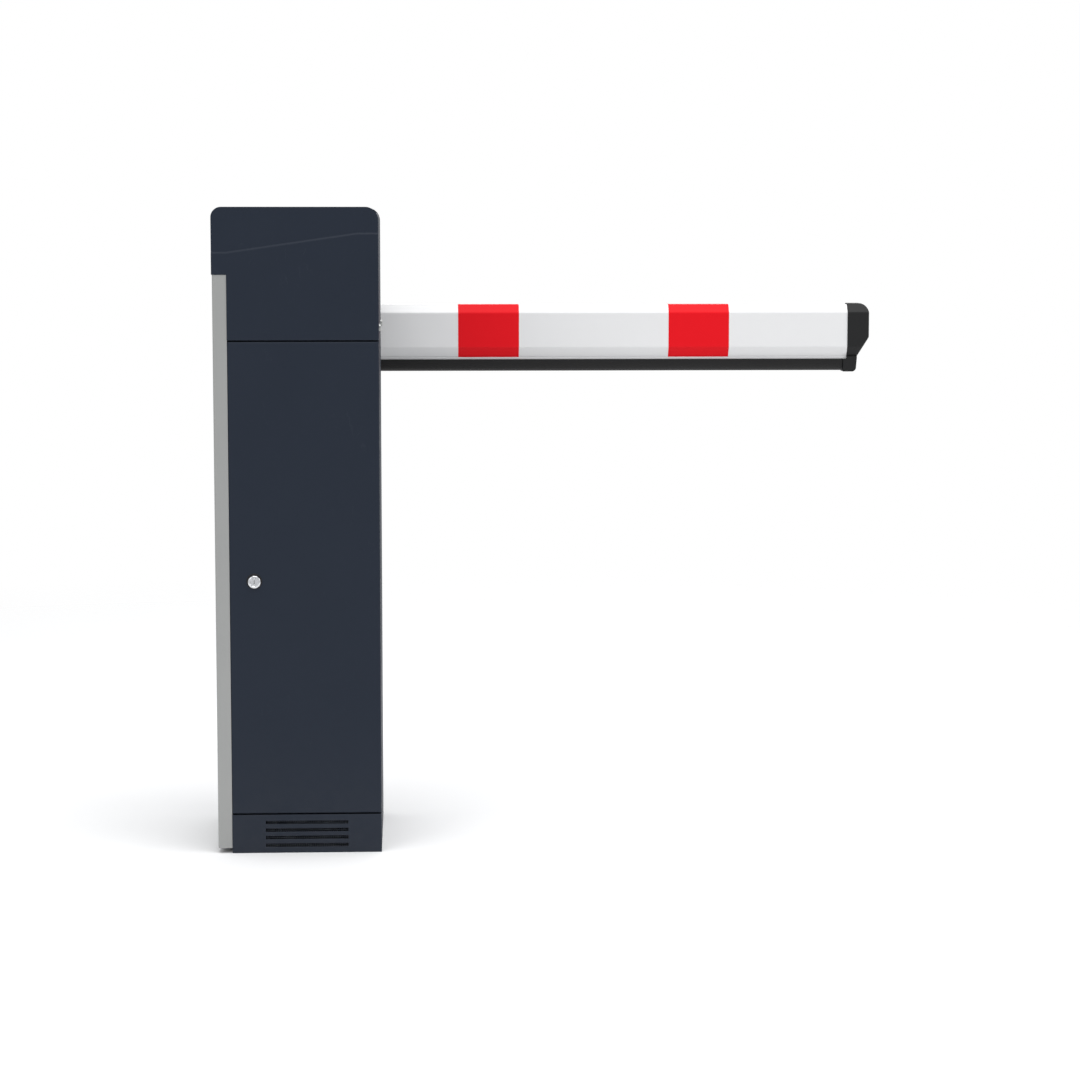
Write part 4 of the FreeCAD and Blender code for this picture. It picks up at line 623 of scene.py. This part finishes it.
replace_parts(fastened("tie_bolt_heads", "cabinet", (0, -1, 0), [(x, tie_front, z) for x, z in TIES],
                     **HEX_BOLT), "frame_bolts")
fastened("tie_bolt_nuts", "cabinet", (0, 1, 0), [(x, tie_rear, z) for x, z in TIES], **NUT, **NO_WASHER)
for side, name in ((-1, "left_flange_nuts"), (1, "right_flange_nuts")):
    fastened(name, "cabinet", (-side, 0, 0), [(side * FLANGE_INSIDE, y, z) for y, z in FLANGE_BOLTS],
             **NUT, **NO_WASHER)
for side, name in ((-1, "left_hood_screws"), (1, "right_hood_screws")):
    skin = side * face("cabinet_shell", "+x")
    screws = fastened(name, "cabinet", (side, 0, 0), [(skin, y, z) for y, z in BRACKET_SCREWS], sides=24,
                      head_radius=0.0055, head_height=0.0027, chamfer=0.0008, socket_radius=0.0026,
                      socket_depth=0.0018, **NO_WASHER)
    if side < 0:
        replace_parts(screws, "hood_screws")

# ---------------------------------------------------------------- main shaft, bearings and linkage
# Turned steel shafts run in cast iron flange bearings. Forged arms are clamped on them, and a flat rod
# with a turnbuckle joins the two arms; steel studs with rubber buffers stop the upper arm.
finish("cast_housing", colour=(0.05, 0.054, 0.058), shade=(0.075, 0.078, 0.08), roughness=0.55,
       metallic=0.3, grain=260.0, depth=0.00012, worn=(0.35, 0.35, 0.35), wear=0.6, dust=0.15)
finish("black_plastic", colour=(0.0105, 0.0107, 0.011), shade=(0.0135, 0.0137, 0.0142), roughness=0.5,
       metallic=0.0, grain=1300.0, depth=0.00005, worn=(0.06, 0.06, 0.06), wear=0.3, dust=0.03,
       level=0.22)


def on_circle(count, radius, centre, start=0.0):
    """Places evenly round a circle, as pairs."""
    turns = [start + 2 * math.pi * k / count for k in range(count)]
    return [(centre[0] + radius * math.cos(turn), centre[1] + radius * math.sin(turn)) for turn in turns]


SHAFT_Z = middle("front_bearing", "z")
OUTPUT_Z = middle("output_shaft", "z")
CLAMP_X, CLAMP_Z = 0.0176, 0.0176
BEARING_SCREWS = on_circle(4, 0.0285, (0, SHAFT_Z), math.pi / 4)
BEARING_SCREW = dict(sides=24, head_radius=0.0042, head_height=0.004, chamfer=0.0005,
                     socket_radius=0.0021, socket_depth=0.0022, washer_radius=0.0046,
                     washer_height=0.0004)
for node, width in (("front_bearing", 0.0012), ("rear_bearing", 0.0012), ("main_shaft", 0.0008),
                    ("output_shaft", 0.0008), ("rocker_lever", 0.001), ("crank_arm", 0.001),
                    ("rocker_pins", 0.0005), ("crank_pin", 0.0005), ("limit_disc", 0.0005),
                    ("connecting_rod", 0.0008), ("stop_buffers", 0.0008), ("limit_sensors", 0.0007)):
    eased(node, width)
for name, node, side in (("front_bearing_screws", "front_bearing", "-y"),
                         ("rear_bearing_screws", "rear_bearing", "+y")):
    fastened(name, "cabinet", (0, -1 if side == "-y" else 1, 0),
             [(x, face(node, side), z) for x, z in BEARING_SCREWS], **BEARING_SCREW)
ROD_X = -0.0495
for name, way, level in (("rod_upper_nut", 1, 0.737), ("rod_lower_nut", -1, 0.667)):
    fastened(name, "rod", (0, 0, way), [(ROD_X, middle("connecting_rod", "y"), level)], head_radius=0.0112,
             head_height=0.006, socket_radius=0.0098, washer_radius=0.0116, washer_height=0.0008)
arm_front = face("rocker_lever", "-y")
fastened("arm_clamp_screws", "boom_arm", (0, -1, 0), [(CLAMP_X, arm_front, SHAFT_Z + CLAMP_Z)],
         **BEARING_SCREW)
fastened("crank_clamp_screws", "crank", (0, -1, 0), [(CLAMP_X, arm_front, OUTPUT_Z + CLAMP_Z)],
         **BEARING_SCREW)

# ---------------------------------------------------------------- balance spring
# A cold wound pull spring of five millimetre wire, blackened and oiled. Its ends are screwed on a hook
# at the lever and on an eyebolt, whose nuts set the pull against a bar across the cabinet.
WIRE_RADIUS = 0.0025
COIL_FOOT = Vector((middle("balance_spring", "x"), middle("balance_spring", "y"),
                    face("balance_spring", "-z")))
COIL = {"Coils": 54.0, "Coil Radius": 0.0155, "Wire Radius": WIRE_RADIUS,
        "Length": face("balance_spring", "+z") - COIL_FOOT.z}


def coil_tree():
    """Helix of round wire up the Z axis."""
    tree, given = shape_tree("pull_spring", [("Coils", 50.0), ("Coil Radius", 0.0155),
                                             ("Wire Radius", 0.0025), ("Length", 0.4)])
    rise = maths(tree, "SUBTRACT", given["Length"], maths(tree, "MULTIPLY", given["Wire Radius"], 2.0))
    helix = step(tree, "GeometryNodeCurveSpiral", Resolution=24, Rotations=given["Coils"],
                 Start_Radius=given["Coil Radius"], End_Radius=given["Coil Radius"], Height=rise)[0]
    section = step(tree, "GeometryNodeCurvePrimitiveCircle", Resolution=10, Radius=given["Wire Radius"])[0]
    wire = step(tree, "GeometryNodeCurveToMesh", Curve=helix, Profile_Curve=section, Fill_Caps=True)[0]
    return close_tree(tree, given, wire)


for node in ("spring_hook", "spring_eyebolt", "spring_anchor_bar"):
    eased(node, 0.0005)
spring = grown("spring_coils", coil_tree(), "plain_steel", "cabinet", COIL, turn=80)
shifted(spring, COIL_FOOT + Vector((0, 0, WIRE_RADIUS)))
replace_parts(spring, "balance_spring")
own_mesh(spring)

# ---------------------------------------------------------------- worm gearbox and motor
# A sand cast aluminium box holds a bronze wheel and a steel worm; the finned motor hangs under it and a
# black hand wheel on the worm's upper end lowers the boom when the power is off.
finish("cast_aluminium", colour=(0.5, 0.51, 0.52), shade=(0.4, 0.41, 0.42), roughness=0.45,
       metallic=0.85, grain=240.0, depth=0.0001, worn=(0.85, 0.85, 0.85), wear=0.5, dust=0.2)
finish("wheel_bronze", colour=(0.52, 0.33, 0.12), shade=(0.42, 0.25, 0.09), roughness=0.3, metallic=1.0,
       grain=500.0, depth=0.00002, worn=(0.8, 0.6, 0.3), wear=0.5, dust=0.0)
for node, width in (("gearbox_housing", 0.0012), ("gearbox_cover", 0.001), ("motor_housing", 0.0006),
                    ("motor_rotor", 0.0006)):
    eased(node, width)
eased("hand_wheel", 0.0014, steps=3)
coated("worm_shaft")
coated("worm_wheel")


def front_corners(node, inset):
    """Places on a node's front face, in from each corner."""
    low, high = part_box(node)
    return [(x, low.y, z) for x in (low.x + inset, high.x - inset) for z in (low.z + inset, high.z - inset)]


MOTOR_AXIS = (0.052, -0.04)
PLUG = dict(head_radius=0.0085, head_height=0.006, washer_radius=0.0105, washer_height=0.0015,
            socket_radius=0.006)
PLUG_Y = -0.036
RIB_HALF = 0.0015
BOX_LID = -0.017
box_top = face("gearbox_housing", "+z")
motor_foot = face("motor_housing", "-z")
fastened("cover_screws", "cabinet", (0, -1, 0), front_corners("gearbox_cover", 0.009), **SCREW)
fastened("oil_plug", "cabinet", (0, 0, 1), [(-0.028, PLUG_Y, box_top)], **PLUG)
fastened("oil_drain", "cabinet", (-1, 0, 0), [(face("gearbox_housing", "-x"), PLUG_Y, 0.497)], **PLUG)
fastened("motor_end_screws", "cabinet", (0, 0, -1),
         [(x, y, motor_foot) for x, y in on_circle(4, 0.03, MOTOR_AXIS)], **SCREW)
blocks("gearbox_ribs", "cast_aluminium", "cabinet", 0.0012,
       *[((x - RIB_HALF, -0.074, box_top - 0.001), (x + RIB_HALF, -0.004, box_top + 0.0035))
         for x in (-0.046, -0.01, 0.008, 0.076)])
blocks("motor_terminal_box", "cast_aluminium", "cabinet", 0.002,
       ((-0.014, -0.06, 0.384), (0.019, -0.02, 0.438)),
       ((BOX_LID, -0.062, 0.382), (BOX_LID + 0.004, -0.018, 0.44)))
fastened("terminal_box_screws", "cabinet", (-1, 0, 0),
         [(BOX_LID, y, z) for y in (-0.057, -0.023) for z in (0.387, 0.435)], **SCREW)
fastened("terminal_box_gland", "cabinet", (0, 0, -1), [(0.0, -0.04, 0.384)], slot="black_plastic",
         head_radius=0.009, head_height=0.008, washer_radius=0.01, washer_height=0.004,
         socket_radius=0.0062, end_radius=0.006, end_height=0.005)

# ---------------------------------------------------------------- electrical panel
# Zinc plated mounting sheet with the light grey controller box, a power supply under a perforated cover,
# and a top-hat rail that carries a two pole circuit breaker and a row of terminals.
finish("grey_plastic", colour=(0.5, 0.5, 0.48), shade=(0.45, 0.45, 0.43), roughness=0.42, metallic=0.0,
       grain=1200.0, depth=0.00003, worn=(0.7, 0.7, 0.7), wear=0.2)
finish("toggle_black", colour=(0.02, 0.02, 0.021), shade=(0.025, 0.025, 0.026), roughness=0.4,
       metallic=0.0, grain=1300.0, depth=0.00003, worn=(0.1, 0.1, 0.1), wear=0.2, dust=0.02)
VENTS = {"Wide": 0.07, "Tall": 0.07, "Columns": 14, "Rows": 14, "Hole Share": 0.62, "Depth": 0.0025,
         "Thick": 0.003}
TERMINALS = {"Count": 14, "Pitch": 0.0062, "Thick": 0.0057, "Deep": 0.042, "Tall": 0.05}
for node, width in (("equipment_panel", 0.0003), ("controller_case", 0.0012), ("controller_lid", 0.0018),
                    ("circuit_breaker", 0.0008), ("breaker_toggle", 0.0008)):
    eased(node, width)


def vent_tree():
    """Sheet in the XZ plane that looks along -Y, with a grid of square pits sunk in it."""
    tree, given = shape_tree("vent_sheet", [("Wide", 0.07), ("Tall", 0.08), ("Columns", 12), ("Rows", 14),
                                            ("Hole Share", 0.6), ("Depth", 0.002), ("Thick", 0.003)])
    sheet = step(tree, "GeometryNodeMeshGrid", Size_X=given["Wide"], Size_Y=given["Tall"],
                 Vertices_X=maths(tree, "ADD", given["Columns"], 1.0),
                 Vertices_Y=maths(tree, "ADD", given["Rows"], 1.0))[0]
    plate = step(tree, "GeometryNodeExtrudeMesh", Mesh=sheet, Offset_Scale=given["Thick"], Individual=False)
    inner = step(tree, "GeometryNodeExtrudeMesh", Mesh=plate["Mesh"], Selection=plate["Top"],
                 Offset_Scale=0.0, Individual=True)
    holes = step(tree, "GeometryNodeScaleElements", Geometry=inner["Mesh"], Selection=inner["Top"],
                 Scale=given["Hole Share"])[0]
    pits = step(tree, "GeometryNodeExtrudeMesh", Mesh=holes, Selection=inner["Top"],
                Offset_Scale=maths(tree, "MULTIPLY", given["Depth"], -1.0), Individual=True)["Mesh"]
    closed = tree.nodes.new("GeometryNodeJoinGeometry")
    tree.links.new(pits, closed.inputs[0])
    tree.links.new(step(tree, "GeometryNodeFlipFaces", Mesh=sheet)[0], closed.inputs[0])
    joined = step(tree, "GeometryNodeMergeByDistance", Geometry=closed.outputs[0], Distance=0.00001)[0]
    upright = step(tree, "GeometryNodeTransform", Geometry=joined, Rotation=(math.pi / 2, 0, 0))[0]
    return close_tree(tree, given, upright)


def terminal_tree():
    """Row of terminal blocks along X, all of one stepped outline, each with two screw heads."""
    tree, given = shape_tree("terminal_row", [("Count", 12), ("Pitch", 0.006), ("Thick", 0.0056),
                                              ("Deep", 0.04), ("Tall", 0.05)])
    unit = tree.nodes.new("GeometryNodeJoinGeometry")
    for deep, tall, back in ((1.0, 0.44, 0.0), (0.72, 1.0, 0.28)):
        size = step(tree, "ShaderNodeCombineXYZ", X=given["Thick"],
                    Y=maths(tree, "MULTIPLY", given["Deep"], deep),
                    Z=maths(tree, "MULTIPLY", given["Tall"], tall))[0]
        shift = step(tree, "ShaderNodeCombineXYZ", Y=maths(tree, "MULTIPLY", given["Deep"], back / 2))[0]
        cube = step(tree, "GeometryNodeMeshCube", Size=size)[0]
        placed_cube = step(tree, "GeometryNodeTransform", Geometry=cube, Translation=shift)[0]
        tree.links.new(placed_cube, unit.inputs[0])
    for side in (-0.36, 0.36):
        screw = step(tree, "GeometryNodeMeshCylinder", Vertices=12, Depth=0.0012,
                     Radius=maths(tree, "MULTIPLY", given["Thick"], 0.34))[0]
        place = step(tree, "ShaderNodeCombineXYZ", Y=maths(tree, "MULTIPLY", given["Deep"], -0.22),
                     Z=maths(tree, "MULTIPLY", given["Tall"], side))[0]
        tree.links.new(step(tree, "GeometryNodeTransform", Geometry=screw, Translation=place,
                            Rotation=(math.pi / 2, 0, 0))[0], unit.inputs[0])
    pace = step(tree, "ShaderNodeCombineXYZ", X=given["Pitch"])[0]
    row = step(tree, "GeometryNodeMeshLine", {"mode": "OFFSET"}, Count=given["Count"], Offset=pace)[0]
    terminals = step(tree, "GeometryNodeInstanceOnPoints", Points=row, Instance=unit.outputs[0])[0]
    return close_tree(tree, given, terminals)


def in_row(count, pitch, centre):
    """Levels at a pitch, evenly to both sides of a centre."""
    return [centre + (k - (count - 1) / 2) * pitch for k in range(count)]


# The power supply's case is a box whose front has raised sides, a lower ledge for its screws and a top
# rim; between them lies the perforated cover.
RIM = 0.005
RIM_LAP = 0.0005
RIM_DEEP = 0.004
LEDGE = 0.015
low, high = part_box("power_supply")
supply_x = middle("power_supply", "x")
supply = blocks("power_supply_case", "cast_aluminium", "cabinet", 0.0008,
                ((low.x, low.y + RIM_DEEP - RIM_LAP, low.z), high),
                (low, (low.x + RIM, low.y + RIM_DEEP, high.z)),
                ((high.x - RIM, low.y, low.z), (high.x, low.y + RIM_DEEP, high.z)),
                ((low.x + RIM - RIM_LAP, low.y, low.z),
                 (high.x - RIM + RIM_LAP, low.y + RIM_DEEP, low.z + LEDGE)),
                ((low.x + RIM - RIM_LAP, low.y, high.z - RIM),
                 (high.x - RIM + RIM_LAP, low.y + RIM_DEEP, high.z)))
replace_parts(supply, "power_supply")
shifted(grown("power_supply_cover", vent_tree(), "cast_aluminium", "cabinet", VENTS),
        (supply_x, low.y + 0.0036, 0.218))
fastened("power_supply_screws", "cabinet", (0, -1, 0),
         [(x, low.y, low.z + LEDGE / 2) for x in in_row(7, 0.01, supply_x)], **SCREW)

# The rail is a back strip, two legs that stand out from it and a lip on each leg.
LIP_TALL = 0.004
LIP_THICK = 0.0012
low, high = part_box("din_rail")
rail = blocks("top_hat_rail", "zinc_steel", "cabinet", 0.0003,
              ((low.x, high.y - 0.001, low.z + 0.0045), (high.x, high.y, high.z - 0.0045)),
              ((low.x, low.y, low.z + 0.0035), (high.x, high.y - 0.0005, low.z + 0.0047)),
              ((low.x, low.y, high.z - 0.0047), (high.x, high.y - 0.0005, high.z - 0.0035)),
              (low, (high.x, low.y + LIP_THICK, low.z + LIP_TALL)),
              ((low.x, low.y, high.z - LIP_TALL), (high.x, low.y + LIP_THICK, high.z)))
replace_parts(rail, "din_rail")
shifted(grown("terminal_blocks", terminal_tree(), "grey_plastic", "cabinet", TERMINALS),
        (-0.03, 0.015, middle("din_rail", "z")))
BREAKER_STEP = -0.02
fastened("breaker_screws", "cabinet", (0, -1, 0),
         [(x, BREAKER_STEP, z) for x in (-0.071, -0.053) for z in (0.085, 0.145)], **SCREW)
lid_front, lid_x = face("controller_lid", "-y"), middle("controller_lid", "x")
WINDOW_HALF = 0.035
fastened("lid_screws", "cabinet", (0, -1, 0), front_corners("controller_lid", 0.008), **SCREW)
blocks("lid_window", "toggle_black", "cabinet", 0.0012,
       ((lid_x - WINDOW_HALF, lid_front - 0.0012, 0.205), (lid_x + WINDOW_HALF, lid_front + 0.0005, 0.25)))
fastened("lid_buttons", "cabinet", (0, -1, 0), [(x, lid_front, 0.185) for x in in_row(5, 0.015, lid_x)],
         slot="toggle_black", sides=24, head_radius=0.0042, head_height=0.0016, chamfer=0.0005,
         socket_radius=0.002, socket_depth=0.0002, washer_radius=0.005, washer_height=0.0005)
case_foot, case_y = face("controller_case", "-z"), middle("controller_case", "y")
fastened("case_glands", "cabinet", (0, 0, -1), [(x, case_y, case_foot) for x in in_row(5, 0.02, lid_x)],
         slot="black_plastic", head_radius=0.0078, head_height=0.006, washer_radius=0.0085,
         washer_height=0.003, socket_radius=0.0055, end_radius=0.0052, end_height=0.004)

# ---------------------------------------------------------------- door, hinges, seal and lock
# A folded steel door on three lift-off hinges closes on a rubber seal. The cam lock is turned by key: a
# polished chrome collar is nutted in the skin, and its barrel carries the cam behind the frame.
finish("lock_chrome", colour=(0.72, 0.73, 0.75), shade=(0.64, 0.65, 0.67), roughness=0.17, metallic=1.0,
       grain=300.0, depth=0.000004, worn=(0.9, 0.9, 0.9), wear=0.2, dust=0.0)
LOCK_X, LOCK_Z = middle("lock_barrel", "x"), middle("lock_barrel", "z")
DOOR_FRONT = face("door_panel", "-y")
# outlines of the lock's rings: radius, and height over the door's skin
COLLAR = [(0.00606, 0.0026), (0.0066, 0.003), (0.0076, 0.003), (0.0088, 0.0028), (0.0096, 0.0022),
          (0.0101, 0.0014), (0.01025, 0.0005), (0.01025, 0), (0.008, 0), (0.008, -0.0242),
          (0.00606, -0.0242)]
# black rubber gasket behind the collar; it is set higher than the lock's axis, so that its dark crescent
# above the collar is painted shade
SHADE_GASKET = [(0.0102, 0.0006), (0.0116, 0.0006), (0.012, 0.0003), (0.012, -0.0001), (0.0102, -0.0001)]
SHADE_GASKET_LIFT = 0.0009
SKIN = 0.0015
STIFFENER_HALF = 0.012
HINGE_FEET = (0.15, 0.43, 0.71)
LEAF_X, LEAF_Y = 0.1005, -0.131
KEY_GUARD = [(0.0036, 0.0027), (0.0041, 0.003), (0.0047, 0.0027), (0.0047, 0.0022), (0.0036, 0.0022)]
for node, width in (("door_panel", 0.0004), ("door_seal", 0.001), ("hinge_frame_leaves", 0.0003),
                    ("hinge_door_leaves", 0.0003), ("hinge_pins", 0.0003), ("lock_barrel", 0.0004),
                    ("lock_cam", 0.0005)):
    eased(node, width)


def turned_ring(name, outline, z, steps, slot, body):
    """Ring turned round the lock's axis, from a closed outline of radius and height over the skin."""
    bm = bmesh.new()
    rings = []
    for k in range(steps):
        turn = 2 * math.pi * k / steps
        rings.append([bm.verts.new((LOCK_X + radius * math.cos(turn), DOOR_FRONT - over,
                                    z + radius * math.sin(turn))) for radius, over in outline])
    for k in range(steps):
        here, there = rings[k], rings[(k + 1) % steps]
        for i in range(len(outline)):
            j = (i + 1) % len(outline)
            bm.faces.new((here[i], here[j], there[j], there[i]))
    bmesh.ops.recalc_face_normals(bm, faces=bm.faces)
    return dressed(finished_mesh(name, bm), slot, body)


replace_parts(turned_ring("lock_collar", COLLAR, LOCK_Z, 48, "lock_chrome", "door"), "lock_sleeve")
# the dark gasket ring, lifted off the lock's axis, paints a crescent of shade above the collar
turned_ring("lock_shade_gasket", SHADE_GASKET, LOCK_Z + SHADE_GASKET_LIFT, 40, "black_rubber", "door")
turned_ring("lock_key_guard", KEY_GUARD, LOCK_Z, 32, "lock_chrome", "lock")
fastened("lock_nut", "door", (0, 1, 0), [(LOCK_X, DOOR_FRONT + SKIN, LOCK_Z)], head_radius=0.0112,
         head_height=0.004, socket_radius=0.0094, washer_radius=0.0125, washer_height=0.0006)
blocks("door_stiffeners", "body_paint", "door", 0.0012,
       *[((x - STIFFENER_HALF, DOOR_FRONT + 0.0013, 0.1), (x + STIFFENER_HALF, DOOR_FRONT + 0.0075, 0.755))
         for x in (-0.04, 0.045)])
for foot in HINGE_FEET:
    fastened("hinge_screws_%d" % round(foot * 1000), "cabinet", (0, -1, 0),
             [(LEAF_X, LEAF_Y, foot + rise) for rise in (0.0075, 0.0225)],
             **dict(SCREW, head_height=0.0012, socket_depth=0.0006))

# ---------------------------------------------------------------- trim and hood
# The strip down the narrow side is folded aluminium in brushed silver lacquer. The hood is a deep
# welded cap in the cabinet's paint; a sloping step is pressed in its front and back.
finish("silver_paint", colour=(0.315, 0.32, 0.315), shade=(0.345, 0.348, 0.34), roughness=0.42,
       metallic=0.25, grain=1500.0, depth=0.00002, along=(1, 1, 0.03), worn=(0.6, 0.6, 0.6), wear=0.35,
       dust=0.06)
CREASE_SLOPE = 0.003
CREASE_ABOVE = 0.92


def sloped_crease(bm):
    """Draw the pressed step's outer edge down, so that the step is a narrow slope."""
    skins = face("hood", "-y"), face("hood", "+y")
    for corner in bm.verts:
        if min(abs(corner.co.y - skin) for skin in skins) < 0.0001 and corner.co.z > CREASE_ABOVE:
            corner.co.z -= CREASE_SLOPE


eased("side_trim", 0.0004)
eased("hood", 0.0006, turn=24, reshape=sloped_crease)

# ---------------------------------------------------------------- boom carrier
# A cast hub on the shaft's end carries a zinc plated saddle; the boom lies in it, and four long bolts
# with washers and nuts pull a clamp plate on it.
CLAMPS = [(x, z) for x in (-0.06, 0.08) for z in (0.775, 0.819)]
FLANGE_THICK = 0.01
HUB_SCREW = (0, 0.1585, 0.8288)
eased("boom_hub", 0.0015)
eased("boom_saddle", 0.0008)
eased("clamp_plate", 0.0008)
plate_back = face("clamp_plate", "+y")
flange_front = face("boom_hub", "+y") - FLANGE_THICK
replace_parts(fastened("clamp_bolt_heads", "boom_arm", (0, 1, 0), [(x, plate_back, z) for x, z in CLAMPS],
                     head_radius=0.01, head_height=0.0064, chamfer=0.0009, socket_radius=0.0075,
                     washer_radius=0.0118, washer_height=0.0012), "clamp_bolts")
fastened("clamp_bolt_nuts", "boom_arm", (0, -1, 0), [(x, flange_front, z) for x, z in CLAMPS],
         head_radius=0.01, head_height=0.006, chamfer=0.0009, socket_radius=0.0066, washer_radius=0.0115,
         washer_height=0.0012, end_radius=0.0058, end_height=0.0006)
fastened("hub_screw", "boom_arm", (0, 0, 1), [HUB_SCREW], sides=24, head_radius=0.003, head_height=0.0016,
         chamfer=0.0004, socket_radius=0.0016, socket_depth=0.0012, **NO_WASHER)

# ---------------------------------------------------------------- boom
# An extruded aluminium section in white enamel with two red prism-film bands; a hollow rubber edge hangs
# in its lower rail, and moulded caps close both ends.


def prism_lines(tree):
    """Fine lattice of square prism cells, turned a little to the boom."""
    place = tree.nodes.new("ShaderNodeMapping")
    place.inputs["Rotation"].default_value = (0, math.radians(45), 0)
    tree.links.new(tree.nodes.new("ShaderNodeTexCoord").outputs["Object"], place.inputs["Vector"])
    cells = tree.nodes.new("ShaderNodeTexVoronoi")
    cells.feature = "DISTANCE_TO_EDGE"
    cells.inputs["Scale"].default_value = 280.0
    cells.inputs["Randomness"].default_value = 0.0
    tree.links.new(place.outputs[0], cells.inputs["Vector"])
    return maths(tree, "SUBTRACT", 1.0, maths(tree, "DIVIDE", cells.outputs["Distance"], 0.09), clamp=True)


finish("boom_white", colour=(0.755, 0.755, 0.755), shade=(0.725, 0.725, 0.728), roughness=0.36,
       metallic=0.0, grain=900.0, depth=0.00003, worn=(0.55, 0.55, 0.55), wear=0.2, scratch=0.08,
       dust=0.05, coat=0.1)
finish("band_red", colour=(0.745, 0.0035, 0.0105), shade=(0.7, 0.003, 0.0095), roughness=0.45,
       metallic=0.0, grain=1400.0, depth=0.00002, worn=(0.8, 0.03, 0.035), wear=0.05, dust=0.0,
       coat=0.0, level=0.1, pattern=prism_lines)
eased("boom_profile", 0.0003)
eased("reflective_bands", 0.0001)
eased("rubber_strip", 0.0008)
eased("boom_inner_cap", 0.0006)
eased("boom_end_cap", 0.0012)
fastened("inner_cap_screws", "boom_arm", (-1, 0, 0),
         [(face("boom_inner_cap", "-x"), middle("boom_inner_cap", "y"), z) for z in (0.768, 0.83)],
         **dict(SCREW, head_height=0.0012, socket_depth=0.0008))
